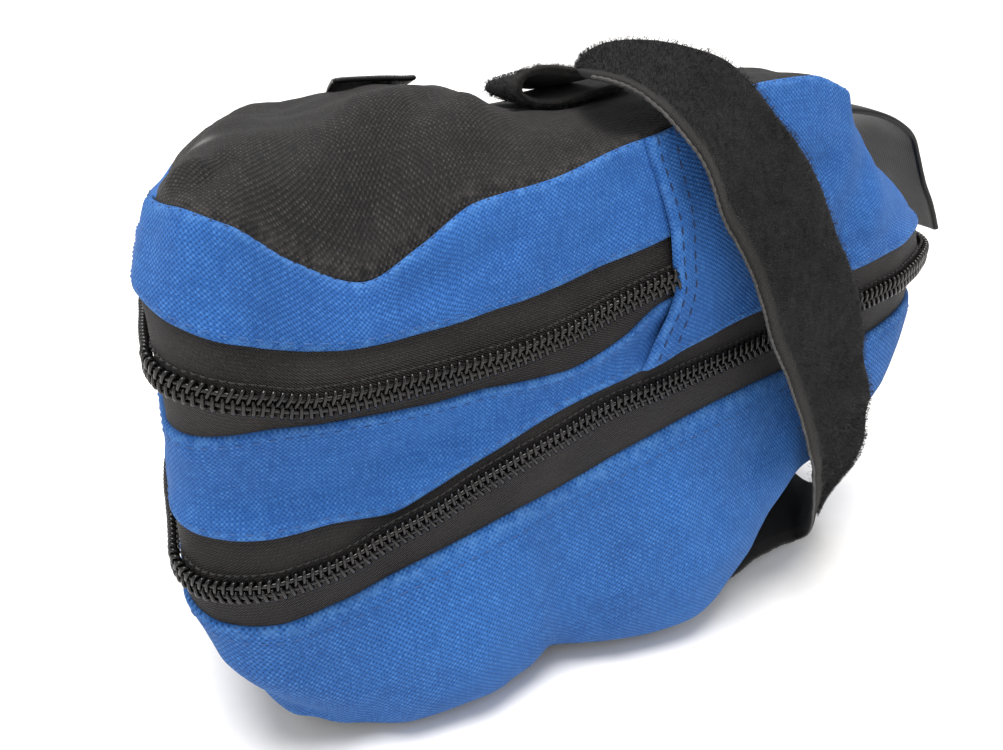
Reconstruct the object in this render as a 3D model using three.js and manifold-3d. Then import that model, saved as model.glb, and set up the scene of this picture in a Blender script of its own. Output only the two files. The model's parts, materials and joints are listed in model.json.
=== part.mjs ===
// Soft bicycle saddle bag lying on its base: a wedge of thin cloth panels
// sewn together along seams that run round the bag, with two zips between
// them, a wide loop-pile strap round its front half and short straps on top
// and at the front. Millimetres, +Z up, X along the bag from the wide rear
// end to the narrow front end, -Y the side that carries the open view.
import * as THREE from "three";
import { mergeVertices } from "three/addons/utils/BufferGeometryUtils.js";
import Module from "manifold-3d";

const wasm = await Module();
wasm.setup();

// ---------------------------------------------------------------- sizes
const CLOTH = 1.2; // wall of the sewn panels
const TAPE = 1.0; // woven zip tape
const SEAM_GAP = 0.2; // half the clearance kept between two sewn edges
const COIL_WIDTH = 5.6; // closed nylon coil, across both sides
const COIL_DEPTH = 2.0; // how far the coil stands out
const COIL_CLEAR = 0.35; // coil to tape
const CORNER_R = 12; // rounding of the two rear corners, seen from above
const X_SIDE = 12; // where the straight side starts
const X_NOSE = 140; // where the rounded nose starts
const X_SEAM = 93; // the upright seam that ends the upper zip
const SPINE = { top: [25, 118], base: [26, 140] }; // middle lines that top and base run to
const BASE_RIM = 0.36; // share of the base's half width that curls up
const PILE_STRAP = 2.0; // thickness of the wide loop-pile strap
const STRAP = 1.8; // thickness of the narrow straps
const SLIDER = { length: 11, width: 9, depth: 4.4, tab: 22, tabWidth: 5.5, tabDepth: 1.8 };

// Each seam seen from above: x at the rear, half width at the rear corner,
// half width where the nose starts, and x at the tip of the nose.
const PLAN = {
  top: { rear: 0, wide: 39, narrow: 21, nose: 148 },
  bandLow: { rear: -4.6, wide: 43, narrow: 24.5, nose: 158 },
  zipA: { rear: -4.4, wide: 45, narrow: 26, nose: 163 },
  midTop: { rear: -4.6, wide: 44.2, narrow: 26.5, nose: 166 },
  midLow: { rear: -6, wide: 45, narrow: 28, nose: 179 },
  zipB: { rear: -6.2, wide: 46.5, narrow: 28, nose: 183 },
  lowTop: { rear: -6, wide: 46.5, narrow: 27.5, nose: 181.5 },
  belly: { rear: -2, wide: 47, narrow: 33, nose: 172 },
  base: { rear: 5, wide: 42.5, narrow: 24, nose: 152 },
};

// The lower shell's half width where it swells: its belly and its base seam.
const SWELL = [
  { x: 12, belly: 47.0, base: 42.5, bellyFar: 47.0, baseFar: 42.5 },
  { x: 22, belly: 47.5, base: 43.2, bellyFar: 47.0, baseFar: 42.3 },
  { x: 34, belly: 50.0, base: 43.6, bellyFar: 46.6, baseFar: 41.6 },
  { x: 49, belly: 49.0, base: 42.0, bellyFar: 45.6, baseFar: 40.2 },
  { x: 62, belly: 44.6, base: 38.0, bellyFar: 44.6, baseFar: 38.8 },
  { x: 70, belly: 41.5, base: 35.0, bellyFar: 43.8, baseFar: 37.8 },
  { x: 77, belly: 42.5, base: 35.6, bellyFar: 43.0, baseFar: 37.0 },
  { x: 86, belly: 44.0, base: 37.0, bellyFar: 42.2, baseFar: 35.8 },
  { x: 98, belly: 44.4, base: 37.0, bellyFar: 40.6, baseFar: 34.0 },
  { x: 108, belly: 43.0, base: 35.4, bellyFar: 39.2, baseFar: 32.4 },
  { x: 118, belly: 40.0, base: 31.6, bellyFar: 37.4, baseFar: 30.4 },
  { x: 130, belly: 36.4, base: 27.6, bellyFar: 35.0, baseFar: 27.4 },
  { x: 140, belly: 33.0, base: 24.0, bellyFar: 33.0, baseFar: 24.0 },
];

// Height of each seam above the surface, a row for each station round the
// bag: at -40 the middle of the rear, -2 to 12 the rear corner, then x along
// the side, 140 to 190 round the nose to its tip.
const SEAMS = [
  { at: -40, top: 103.8, topFar: 103.8, bandLow: 99.5, zipA: 88.0, midTop: 77.0, midLow: 58.0, zipB: 49.0, lowTop: 42.0, belly: 30, base: 17.0 },
  { at: -2, top: 113.6, topFar: 104.5, bandLow: 99.5, zipA: 87.8, midTop: 76.5, midLow: 58.0, zipB: 48.3, lowTop: 41.0, belly: 28, base: 15.0 },
  { at: 5, top: 113.8, topFar: 108.0, bandLow: 96.0, zipA: 86.0, midTop: 76.0, midLow: 55.7, zipB: 46.0, lowTop: 37.6, belly: 24, base: 12.5 },
  { at: 12, top: 111.0, topFar: 112.6, bandLow: 91.8, zipA: 83.0, midTop: 76.5, midLow: 55.0, zipB: 46.0, lowTop: 36.6, belly: 20, base: 9.0 },
  { at: 22, top: 103.4, topFar: 114.0, bandLow: 88.6, zipA: 80.2, midTop: 75.5, midLow: 54.8, zipB: 46.5, lowTop: 37.5, belly: 16, base: 4.5 },
  { at: 33, top: 98.3, topFar: 114.0, bandLow: 87.6, zipA: 80.0, midTop: 74.9, midLow: 53.4, zipB: 49.3, lowTop: 40.3, belly: 15, base: 2.2 },
  { at: 43, top: 103.0, topFar: 112.5, bandLow: 88.2, zipA: 80.0, midTop: 74.5, midLow: 56.5, zipB: 52.3, lowTop: 42.6, belly: 15, base: 1.6 },
  { at: 54, top: 109.5, topFar: 113.5, bandLow: 89.6, zipA: 80.6, midTop: 74.9, midLow: 60.9, zipB: 56.6, lowTop: 45.3, belly: 15, base: 1.6 },
  { at: 70, top: 112.2, topFar: 115.5, bandLow: 92.3, zipA: 83.2, midTop: 74.9, midLow: 67.0, zipB: 62.0, lowTop: 49.0, belly: 17, base: 4.0 },
  { at: 84, top: 116.5, topFar: 118.0, bandLow: 95.7, zipA: 87.5, midTop: 79.5, midLow: 70.3, zipB: 65.7, lowTop: 53.1, belly: 17.5, base: 3.6 },
  { at: 94, top: 118.8, topFar: 120.5, bandLow: 98.0, zipA: 90.3, midTop: 85.3, midLow: 72.4, zipB: 67.4, lowTop: 55.8, belly: 18, base: 3.2 },
  { at: 106, top: 123.5, topFar: 123.0, bandLow: 101.0, zipA: 93.0, midTop: 88.5, midLow: 75.9, zipB: 69.6, lowTop: 59.0, belly: 19.5, base: 4.4 },
  { at: 118, top: 126.5, topFar: 125.5, bandLow: 103.0, zipA: 95.0, midTop: 90.5, midLow: 79.3, zipB: 71.8, lowTop: 61.5, belly: 26, base: 11.0 },
  { at: 130, top: 127.0, topFar: 125.5, bandLow: 104.0, zipA: 96.0, midTop: 91.5, midLow: 81.8, zipB: 73.8, lowTop: 63.5, belly: 39, base: 25.0 },
  { at: 140, top: 123.6, topFar: 122.6, bandLow: 104.5, zipA: 96.5, midTop: 92.0, midLow: 83.6, zipB: 75.2, lowTop: 64.8, belly: 45.5, base: 32.0 },
  { at: 155, top: 116.4, topFar: 117.0, bandLow: 105.0, zipA: 97.0, midTop: 93.0, midLow: 87.0, zipB: 78.5, lowTop: 67.5, belly: 50, base: 37.0 },
  { at: 170, top: 113.4, topFar: 114.0, bandLow: 105.5, zipA: 98.0, midTop: 94.0, midLow: 89.5, zipB: 81.0, lowTop: 70.5, belly: 52.5, base: 39.5 },
  { at: 190, top: 112.6, topFar: 112.6, bandLow: 106.0, zipA: 99.0, midTop: 95.0, midLow: 90.5, zipB: 82.0, lowTop: 71.5, belly: 53, base: 40.0 },
];

// Shape of the top between its seams: height of the ridge that runs near the
// open side, of the middle line, and of the far slope's crown.
const TOP = [
  { x: 25, ridge: 122.2, middle: 121.6 },
  { x: 36, ridge: 124.8, middle: 123.8 },
  { x: 46, ridge: 127.0, middle: 125.2 },
  { x: 56, ridge: 126.2, middle: 125.2 },
  { x: 68, ridge: 121.6, middle: 120.4 },
  { x: 82, ridge: 119.9, middle: 119.4 },
  { x: 96, ridge: 122.2, middle: 121.6 },
  { x: 108, ridge: 125.8, middle: 125.2 },
  { x: 118, ridge: 126.6, middle: 126.0 },
];
const RIDGE_AT = 0.66; // share of the way from the near seam to the middle

// The bottom seen from the side: the middle line's height.
const KEEL = [
  { x: 26, z: 0 },
  { x: 90, z: 0 },
  { x: 98, z: 2.7 },
  { x: 109, z: 4.2 },
  { x: 118, z: 6.8 },
  { x: 130, z: 13.8 },
  { x: 140, z: 23.5 },
];

// Wide loop-pile strap: its two edges, a row for each section along it.
// It starts at its rounded free end on the top, hangs down the near side,
// twists and turns under on the surface, and ends sewn below the raised nose.
const WRAP = [
  { lx: 78.5, ly: -22.0, lz: 127.4, rx: 86.5, ry: 1.0, rz: 129.8 },
  { lx: 83.0, ly: -24.0, lz: 127.8, rx: 93.0, ry: -2.0, rz: 132.2 },
  { lx: 88.0, ly: -27.2, lz: 125.8, rx: 101.0, ry: -7.0, rz: 132.8 },
  { lx: 93.0, ly: -31.2, lz: 121.0, rx: 107.0, ry: -14.6, rz: 131.6 },
  { lx: 98.0, ly: -36.0, lz: 113.6, rx: 110.8, ry: -24.2, rz: 128.8 },
  { lx: 103.0, ly: -37.8, lz: 102.2, rx: 118.5, ry: -28.7, rz: 119.6 },
  { lx: 108.5, ly: -39.7, lz: 93.2, rx: 125.0, ry: -33.0, rz: 110.2 },
  { lx: 111.5, ly: -41.7, lz: 84.9, rx: 132.5, ry: -36.0, rz: 94.9 },
  { lx: 114.0, ly: -43.0, lz: 77.6, rx: 135.5, ry: -38.0, rz: 88.3 },
  { lx: 118.0, ly: -44.0, lz: 70.0, rx: 140.0, ry: -38.5, rz: 77.2 },
  { lx: 122.5, ly: -43.8, lz: 61.5, rx: 143.5, ry: -37.0, rz: 67.6 },
  { lx: 127.0, ly: -42.6, lz: 53.0, rx: 148.5, ry: -36.0, rz: 57.3 },
  { lx: 131.5, ly: -41.0, lz: 44.3, rx: 151.5, ry: -33.0, rz: 50.4 },
  { lx: 136.0, ly: -37.8, lz: 35.5, rx: 157.0, ry: -28.5, rz: 39.8 },
  { lx: 141.0, ly: -33.5, lz: 26.6, rx: 162.0, ry: -21.5, rz: 28.0 },
  { lx: 146.0, ly: -28.5, lz: 18.5, rx: 165.0, ry: -13.5, rz: 18.5 },
  { lx: 149.8, ly: -24.5, lz: 11.0, rx: 165.5, ry: -6.5, rz: 10.5 },
  { lx: 152.0, ly: -20.8, lz: 5.0, rx: 164.0, ry: -2.5, rz: 9.6 },
  { lx: 151.8, ly: -18.0, lz: 1.9, rx: 159.5, ry: 1.6, rz: 13.0 },
  { lx: 147.0, ly: -17.8, lz: 1.3, rx: 151.0, ry: 3.4, rz: 13.6 },
  { lx: 137.5, ly: -20.4, lz: 1.3, rx: 134.5, ry: 3.0, rz: 9.0 },
  { lx: 126.5, ly: -25.0, lz: 1.3, rx: 119.5, ry: -1.0, rz: 2.6 },
  { lx: 114.0, ly: -29.6, lz: 1.3, rx: 105.5, ry: -6.2, rz: 1.3 },
];

// Short strap on the top: a lower layer from the upright seam backwards, a
// fold, and an upper layer that runs back under the wide strap's free end.
// Centre line, with the width across the bag; drop is how far its far edge
// sags.
const LOOP = { y: 7, width: 22, tilt: -1.0 };
const LOOP_PATH = [
  { x: 99.0, z: 123.9, drop: 0.0 },
  { x: 92.0, z: 122.6, drop: 0.0 },
  { x: 86.0, z: 121.3, drop: 0.0 },
  { x: 80.0, z: 120.5, drop: 0.0 },
  { x: 75.6, z: 121.2, drop: 0.0 },
  { x: 73.0, z: 123.2, drop: 0.6 },
  { x: 73.5, z: 125.8, drop: 1.8 },
  { x: 76.4, z: 127.5, drop: 3.0 },
  { x: 80.0, z: 127.7, drop: 3.4 },
  { x: 84.0, z: 127.2, drop: 3.3 },
  { x: 88.0, z: 126.6, drop: 2.6 },
  { x: 91.0, z: 126.2, drop: 1.8 },
];

// Short strap lying across the far half of the top, x is its middle.
const FAR_STRAP = { x: 45, width: 17 };
const FAR_STRAP_PATH = [
  { y: 6.0, lift: 1.9 },
  { y: 12.0, lift: 1.8 },
  { y: 19.0, lift: 1.9 },
  { y: 26.0, lift: 2.0 },
  { y: 31.0, lift: 2.0 },
];

// Front strap: leaves the top of the nose, bends over and hangs in front.
const FRONT = { y: 8.5, width: 25 };
const FRONT_PATH = [
  { x: 150.0, z: 115.2 },
  { x: 158.0, z: 115.6 },
  { x: 166.4, z: 114.2 },
  { x: 173.0, z: 111.6 },
  { x: 177.8, z: 108.2 },
  { x: 180.6, z: 103.4 },
  { x: 184.0, z: 97.0 },
  { x: 188.4, z: 90.2 },
  { x: 192.6, z: 82.0 },
];

// ---------------------------------------------------------------- colours
const COLOURS = {
  blue: { color: 0x2f66b8, roughness: 0.85, metalness: 0 },
  black: { color: 0x242222, roughness: 0.9, metalness: 0 },
  tape: { color: 0x1f1e1f, roughness: 0.85, metalness: 0 },
  coil: { color: 0x2c2c2e, roughness: 0.45, metalness: 0 },
  pile: { color: 0x1d1d1f, roughness: 1, metalness: 0 },
  webbing: { color: 0x161617, roughness: 0.7, metalness: 0 },
  metal: { color: 0x3a3a3c, roughness: 0.4, metalness: 0.8 },
};

// ---------------------------------------------------------------- helpers
const STATION = { rearMiddle: -40, cornerStart: -2, cornerEnd: X_SIDE, noseStart: X_NOSE, noseTip: 190 };

// Smooth curve through (xs, ys) that never overshoots, level at its ends.
function through(xs, ys, x) {
  const n = xs.length;
  if (x <= xs[0]) return ys[0];
  if (x >= xs[n - 1]) return ys[n - 1];
  let i = 0;
  while (x > xs[i + 1]) i++;
  const h = (j) => xs[j + 1] - xs[j];
  const d = (j) => (ys[j + 1] - ys[j]) / h(j);
  const slope = (j) => {
    if (j === 0 || j === n - 1 || d(j - 1) * d(j) <= 0) return 0;
    const a = 2 * h(j) + h(j - 1), b = h(j) + 2 * h(j - 1);
    return (a + b) / (a / d(j - 1) + b / d(j));
  };
  const t = (x - xs[i]) / h(i), t2 = t * t, t3 = t2 * t;
  return (2 * t3 - 3 * t2 + 1) * ys[i] + (t3 - 2 * t2 + t) * slope(i) * h(i) + (3 * t2 - 2 * t3) * ys[i + 1] + (t3 - t2) * slope(i + 1) * h(i);
}
const columnOf = (rows, key, value) => (x) => through(rows.map((r) => r[key]), rows.map((r) => r[value]), x);
const seamHeight = Object.fromEntries(Object.keys(SEAMS[0]).filter((k) => k !== "at").map((k) => [k, columnOf(SEAMS, "at", k)]));
const ridgeZ = columnOf(TOP, "x", "ridge"), middleZ = columnOf(TOP, "x", "middle"), keelZ = columnOf(KEEL, "x", "z");

const swellOf = {
  belly: { [-1]: columnOf(SWELL, "x", "belly"), 1: columnOf(SWELL, "x", "bellyFar") },
  base: { [-1]: columnOf(SWELL, "x", "base"), 1: columnOf(SWELL, "x", "baseFar") },
};

// Point of a seam's outline from above; side -1 is the near one.
function outline(p, at, side) {
  const s = STATION;
  if (at <= s.cornerStart) {
    const f = (at - s.rearMiddle) / (s.cornerStart - s.rearMiddle);
    return [p.rear + 0.8 * f * f, side * (p.wide - CORNER_R) * f];
  }
  if (at <= s.cornerEnd) {
    const a = ((at - s.cornerStart) / (s.cornerEnd - s.cornerStart)) * (Math.PI / 2);
    return [p.rear + 0.8 + (X_SIDE - p.rear - 0.8) * (1 - Math.cos(a)), side * (p.wide - CORNER_R + CORNER_R * Math.sin(a))];
  }
  const taper = (p.narrow - p.wide) / (X_NOSE - X_SIDE);
  if (at <= s.noseStart) {
    const swell = p === PLAN.belly ? swellOf.belly : p === PLAN.base ? swellOf.base : null;
    return [at, side * (swell ? swell[side](at) : p.wide + taper * (at - X_SIDE))];
  }
  const a = ((at - s.noseStart) / (s.noseTip - s.noseStart)) * (Math.PI / 2);
  const half = p.narrow + taper * (p.nose - X_NOSE) * Math.sin(a) * 0.6;
  return [X_NOSE + (p.nose - X_NOSE) * Math.sin(a), side * half * Math.max(0, Math.cos(a)) ** 0.75];
}
function seamPoint(name, at, side) {
  const [x, y] = outline(PLAN[name], at, side);
  const z = seamHeight[name === "top" && side > 0 ? "topFar" : name](at);
  return new THREE.Vector3(x, y, z);
}
// Level outward direction of a seam.
function outward(name, at, side) {
  const e = 0.5;
  const [x0, y0] = outline(PLAN[name], Math.max(STATION.rearMiddle, at - e), side);
  const [x1, y1] = outline(PLAN[name], Math.min(STATION.noseTip, at + e), side);
  if (at <= STATION.rearMiddle + 1e-6) return new THREE.Vector3(-1, 0, 0);
  if (at >= STATION.noseTip - 1e-6) return new THREE.Vector3(1, 0, 0);
  const n = new THREE.Vector3(y1 - y0, -(x1 - x0), 0).normalize();
  return n.multiplyScalar(n.y * side >= 0 ? 1 : -1);
}

// Stations round the bag. Closed rings go round once, open ones stop at the
// upright seam: the rear part runs seam - rear - seam, the front part the
// other way.
const NEAR = [-40, -21, -2, 1.5, 5, 8.5, 12, 17, 22, 27.5, 33, 38, 43, 48.5, 54, 62, 70, 77, 84, 93, 100, 106, 112, 118, 124, 130, 135, 140, 147, 154, 161, 168, 176, 183, 190];
function around(part) {
  const near = (f) => NEAR.filter(f).map((at) => ({ at, side: -1 }));
  const far = (f) => NEAR.filter(f).map((at) => ({ at, side: 1 })).reverse();
  if (part === "all") return [...near(() => true), ...far((a) => a > -40 && a < 190)];
  if (part === "rear") {
    const ok = (a) => a < X_SEAM - 1;
    return [{ at: X_SEAM - SEAM_GAP, side: 1 }, ...far(ok), ...near((a) => ok(a) && a > -40), { at: X_SEAM - SEAM_GAP, side: -1 }].reverse();
  }
  const ok = (a) => a > X_SEAM + 1;
  return [{ at: X_SEAM + SEAM_GAP, side: -1 }, ...near(ok), ...far((a) => ok(a) && a < 190), { at: X_SEAM + SEAM_GAP, side: 1 }];
}

// A closed solid between two point grids of the same size: skin and lining,
// stitched along every open edge. Coinciding points are merged. A lid's last
// row is its middle line, where its two halves meet, so it has no edge there.
function slab(skin, lining, closed, lid = false) {
  const rows = skin.length, cols = skin[0].length, verts = [], tris = [];
  for (const grid of [skin, lining]) for (const row of grid) for (const p of row) verts.push(p.x, p.y, p.z);
  const id = (g, r, c) => g * rows * cols + r * cols + (c % cols);
  const quad = (a, b, c, d) => tris.push(a, b, c, a, c, d);
  const last = closed ? cols : cols - 1;
  for (let r = 0; r < rows - 1; r++)
    for (let c = 0; c < last; c++) {
      quad(id(0, r, c), id(0, r, c + 1), id(0, r + 1, c + 1), id(0, r + 1, c));
      quad(id(1, r, c), id(1, r + 1, c), id(1, r + 1, c + 1), id(1, r, c + 1));
    }
  for (let c = 0; c < last; c++) {
    quad(id(0, 0, c + 1), id(0, 0, c), id(1, 0, c), id(1, 0, c + 1));
    if (!lid) quad(id(0, rows - 1, c), id(0, rows - 1, c + 1), id(1, rows - 1, c + 1), id(1, rows - 1, c));
  }
  if (!closed)
    for (let r = 0; r < rows - 1; r++) {
      quad(id(0, r, 0), id(0, r + 1, 0), id(1, r + 1, 0), id(1, r, 0));
      quad(id(0, r + 1, cols - 1), id(0, r, cols - 1), id(1, r, cols - 1), id(1, r + 1, cols - 1));
    }
  return solid(verts, tris);
}
function solid(verts, tris) {
  let g = new THREE.BufferGeometry();
  g.setAttribute("position", new THREE.Float32BufferAttribute(verts, 3));
  g.setIndex(tris);
  g = mergeVertices(g, 1e-3);
  const keep = [];
  const ix = g.index.array;
  for (let i = 0; i < ix.length; i += 3) if (ix[i] !== ix[i + 1] && ix[i + 1] !== ix[i + 2] && ix[i] !== ix[i + 2]) keep.push(ix[i], ix[i + 1], ix[i + 2]);
  let m = new wasm.Manifold(new wasm.Mesh({ numProp: 3, vertProperties: new Float32Array(g.attributes.position.array), triVerts: new Uint32Array(keep) }));
  if (m.volume() < 0) {
    for (let i = 0; i < keep.length; i += 3) [keep[i + 1], keep[i + 2]] = [keep[i + 2], keep[i + 1]];
    m = new wasm.Manifold(new wasm.Mesh({ numProp: 3, vertProperties: new Float32Array(g.attributes.position.array), triVerts: new Uint32Array(keep) }));
  }
  return m;
}
function geometryOf(m) {
  const mesh = m.getMesh(), v = new Float32Array(mesh.numVert * 3);
  for (let i = 0; i < mesh.numVert; i++) for (let k = 0; k < 3; k++) v[3 * i + k] = mesh.vertProperties[i * mesh.numProp + k];
  const g = new THREE.BufferGeometry();
  g.setAttribute("position", new THREE.BufferAttribute(v, 3));
  g.setIndex(new THREE.BufferAttribute(mesh.triVerts, 1));
  g.computeVertexNormals();
  return g;
}
function manifoldOf(geometry, matrix) {
  const g = geometry.clone();
  if (matrix) g.applyMatrix4(matrix);
  g.deleteAttribute("normal");
  g.deleteAttribute("uv");
  const m = mergeVertices(g, 1e-4);
  return new wasm.Manifold(new wasm.Mesh({ numProp: 3, vertProperties: new Float32Array(m.attributes.position.array), triVerts: new Uint32Array(m.index.array) }));
}

const part = new THREE.Group();
const bag = new THREE.Group();
part.add(bag);
function add(name, m, look) {
  const mesh = new THREE.Mesh(geometryOf(m), new THREE.MeshStandardMaterial({ ...COLOURS[look], name: look }));
  mesh.name = name;
  bag.add(mesh);
  return mesh;
}

// Where a seam's inner side lies: level for most, down as well for the top
// seam and up for the base seam, so that neighbouring panels are mitred.
const LEAN = { top: -1, base: 1 };
const inner = (name, at, side, t) => seamPoint(name, at, side).addScaledVector(outward(name, at, side), -t).add(new THREE.Vector3(0, 0, (LEAN[name] || 0) * t));

// A panel between two seams, or through three, with a soft bulge.
function wallPanel(seams, part_, rows, t, bulge = 0) {
  const cols = around(part_);
  const at = (f, w) => {
    const pts = seams.map(f);
    if (pts.length === 2) return pts[0].clone().lerp(pts[1], w);
    const m = 0.5, a = ((w - m) * (w - 1)) / (m * 1), b = (w * (w - 1)) / (m * (m - 1)), c = (w * (w - m)) / (1 - m);
    return pts[0].clone().multiplyScalar(a).addScaledVector(pts[1], b).addScaledVector(pts[2], c);
  };
  const grid = (f) =>
    Array.from({ length: rows + 1 }, (_, r) =>
      cols.map(({ at: s, side }) => {
        const reach = seamPoint(seams[0], s, side).distanceTo(seamPoint(seams[seams.length - 1], s, side));
        const g = SEAM_GAP / reach, w = g + (1 - 2 * g) * (r / rows);
        const p = at((n) => f(n, s, side), w);
        return p.addScaledVector(outward(seams[0], s, side), bulge * Math.sin(Math.PI * w));
      }),
    );
  return slab(grid(seamPoint), grid((n, s, side) => inner(n, s, side, t)), part_ === "all");
}

// ---------------------------------------------------------------- panels
add("upper_band", wallPanel(["top", "bandLow"], "rear", 2, CLOTH, 0.8), "blue");
add("upper_zip_tape_upper", wallPanel(["bandLow", "zipA"], "rear", 1, TAPE), "tape");
add("upper_zip_tape_lower", wallPanel(["zipA", "midTop"], "rear", 1, TAPE), "tape");
add("middle_band", wallPanel(["midTop", "midLow"], "rear", 2, CLOTH, -0.8), "blue");
add("front_side_panel", wallPanel(["top", "midLow"], "front", 3, CLOTH, 2.2), "blue");
add("lower_zip_tape_upper", wallPanel(["midLow", "zipB"], "all", 1, TAPE), "tape");
add("lower_zip_tape_lower", wallPanel(["zipB", "lowTop"], "all", 1, TAPE), "tape");
add("lower_shell", wallPanel(["lowTop", "belly", "base"], "all", 5, CLOTH), "blue");

// Closed zip coil: a bead in front of the line where the two tapes meet.
function coil(seam, part_, cut) {
  const cols = around(part_).map((c) => (Math.abs(c.at - X_SEAM) < 1 ? { at: c.at - cut, side: c.side } : c));
  const h = COIL_WIDTH / 2, d = COIL_DEPTH;
  const section = [[-h, 0], [h, 0], [h, 0.5 * d], [0.55 * h, d], [-0.55 * h, d], [-h, 0.5 * d]];
  const rings = cols.map(({ at, side }) => {
    const p = seamPoint(seam, at, side), n = outward(seam, at, side);
    return section.map(([up, out]) => p.clone().addScaledVector(n, COIL_CLEAR + out + 0.09 * Math.abs(up)).add(new THREE.Vector3(0, 0, up)));
  });
  const verts = [], tris = [], k = section.length, n = rings.length, closed = part_ === "all";
  rings.forEach((r) => r.forEach((p) => verts.push(p.x, p.y, p.z)));
  for (let i = 0; i < (closed ? n : n - 1); i++)
    for (let j = 0; j < k; j++) {
      const a = i * k + j, b = i * k + ((j + 1) % k), c = ((i + 1) % n) * k + ((j + 1) % k), e = ((i + 1) % n) * k + j;
      tris.push(a, b, c, a, c, e);
    }
  if (!closed)
    for (let j = 1; j < k - 1; j++) {
      tris.push(0, j + 1, j);
      tris.push((n - 1) * k, (n - 1) * k + j, (n - 1) * k + j + 1);
    }
  return solid(verts, tris);
}
add("upper_zip_coil", coil("zipA", "rear", 0.6), "coil");
add("lower_zip_coil", coil("zipB", "all", 0), "coil");

// Top and base: from a seam in to the middle line.
const clamp = (v, a, b) => Math.min(b, Math.max(a, v));
function lidPanel(seam, rows, t, height) {
  const cols = around("all");
  const grid = (inside) =>
    rows.map((r) =>
      cols.map(({ at, side }) => {
        const p = inside ? inner(seam, at, side, t) : seamPoint(seam, at, side);
        const sx = clamp(outline(PLAN[seam], at, -1)[0], ...SPINE[seam]);
        const reach = Math.hypot(p.x - sx, p.y), g = (SEAM_GAP * 1.6) / reach;
        const w = r === 0 ? g : r;
        const z = height(seamPoint(seam, at, side).z, w, sx, side);
        return new THREE.Vector3(p.x + (sx - p.x) * w, p.y * (1 - w), z + (inside ? LEAN[seam] * t : 0));
      }),
    );
  return slab(grid(false), grid(true), true, true);
}
const ease = (v) => v * v * (3 - 2 * v);
function topHeight(z0, w, sx, side) {
  const mid = middleZ(sx);
  if (side < 0) {
    const crest = ridgeZ(sx);
    if (w < RIDGE_AT) {
      const u = w / RIDGE_AT;
      return z0 + (crest - z0) * Math.sin((u * Math.PI) / 2) ** 1.05;
    }
    return crest + (mid - crest) * ease((w - RIDGE_AT) / (1 - RIDGE_AT));
  }
  return z0 + (mid - z0) * Math.sin((w * Math.PI) / 2) ** 0.9;
}
function baseHeight(z0, w, sx) {
  const keel = keelZ(sx);
  if (w >= BASE_RIM) return keel;
  const u = 1 - w / BASE_RIM;
  return keel + (z0 - keel) * u * u;
}
add("top_panel", lidPanel("top", [0, 0.14, 0.34, 0.52, RIDGE_AT, 0.82, 1], CLOTH, topHeight), "black");
add("base_panel", lidPanel("base", [0, 0.12, 0.24, BASE_RIM, 0.7, 1], CLOTH, baseHeight), "black");

// ---------------------------------------------------------------- straps
// A flat strap from its two edges: rows of points, thickness across.
function ribbon(edges, thickness, steps) {
  const curve = (i) => new THREE.CatmullRomCurve3(edges.map((e) => e[i]), false, "centripetal");
  const count = (edges.length - 1) * steps;
  const left = [], right = [];
  const a = curve(0), b = curve(1);
  for (let i = 0; i <= count; i++) {
    left.push(a.getPoint(i / count));
    right.push(b.getPoint(i / count));
  }
  const verts = [], tris = [];
  for (let i = 0; i <= count; i++) {
    const p = Math.max(0, i - 1), q = Math.min(count, i + 1);
    const along = left[q].clone().add(right[q]).sub(left[p]).sub(right[p]).normalize();
    const across = right[i].clone().sub(left[i]).normalize();
    const n = across.cross(along).normalize().multiplyScalar(thickness / 2);
    for (const [e, s] of [[left[i], -1], [right[i], -1], [right[i], 1], [left[i], 1]]) {
      const v = e.clone().addScaledVector(n, s);
      verts.push(v.x, v.y, v.z);
    }
  }
  for (let i = 0; i < count; i++)
    for (let j = 0; j < 4; j++) {
      const u = i * 4 + j, v = i * 4 + ((j + 1) % 4);
      tris.push(u, v, v + 4, u, v + 4, u + 4);
    }
  const e = count * 4;
  tris.push(0, 2, 1, 0, 3, 2, e, e + 1, e + 2, e, e + 2, e + 3);
  return solid(verts, tris);
}
const V = (x, y, z) => new THREE.Vector3(x, y, z);
add("wrap_strap", ribbon(WRAP.map((r) => [V(r.lx, r.ly, r.lz), V(r.rx, r.ry, r.rz)]), PILE_STRAP, 2), "pile");
add("top_strap_loop", ribbon(LOOP_PATH.map((r) => [V(r.x, LOOP.y - LOOP.width / 2, r.z - LOOP.tilt / 2), V(r.x, LOOP.y + LOOP.width / 2, r.z + LOOP.tilt / 2 - r.drop)]), STRAP, 2), "pile");
add(
  "far_top_strap",
  ribbon(
    FAR_STRAP_PATH.map((r) => {
      const half = Math.abs(outline(PLAN.top, FAR_STRAP.x, 1)[1]);
      const z = topHeight(seamHeight.topFar(FAR_STRAP.x), 1 - r.y / half, FAR_STRAP.x, 1) + r.lift;
      return [V(FAR_STRAP.x - FAR_STRAP.width / 2, r.y, z), V(FAR_STRAP.x + FAR_STRAP.width / 2, r.y, z + 0.6)];
    }),
    STRAP,
    2,
  ),
  "webbing",
);
add("front_strap", ribbon(FRONT_PATH.map((r) => [V(r.x, FRONT.y - FRONT.width / 2, r.z), V(r.x, FRONT.y + FRONT.width / 2, r.z)]), STRAP, 2), "webbing");

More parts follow.
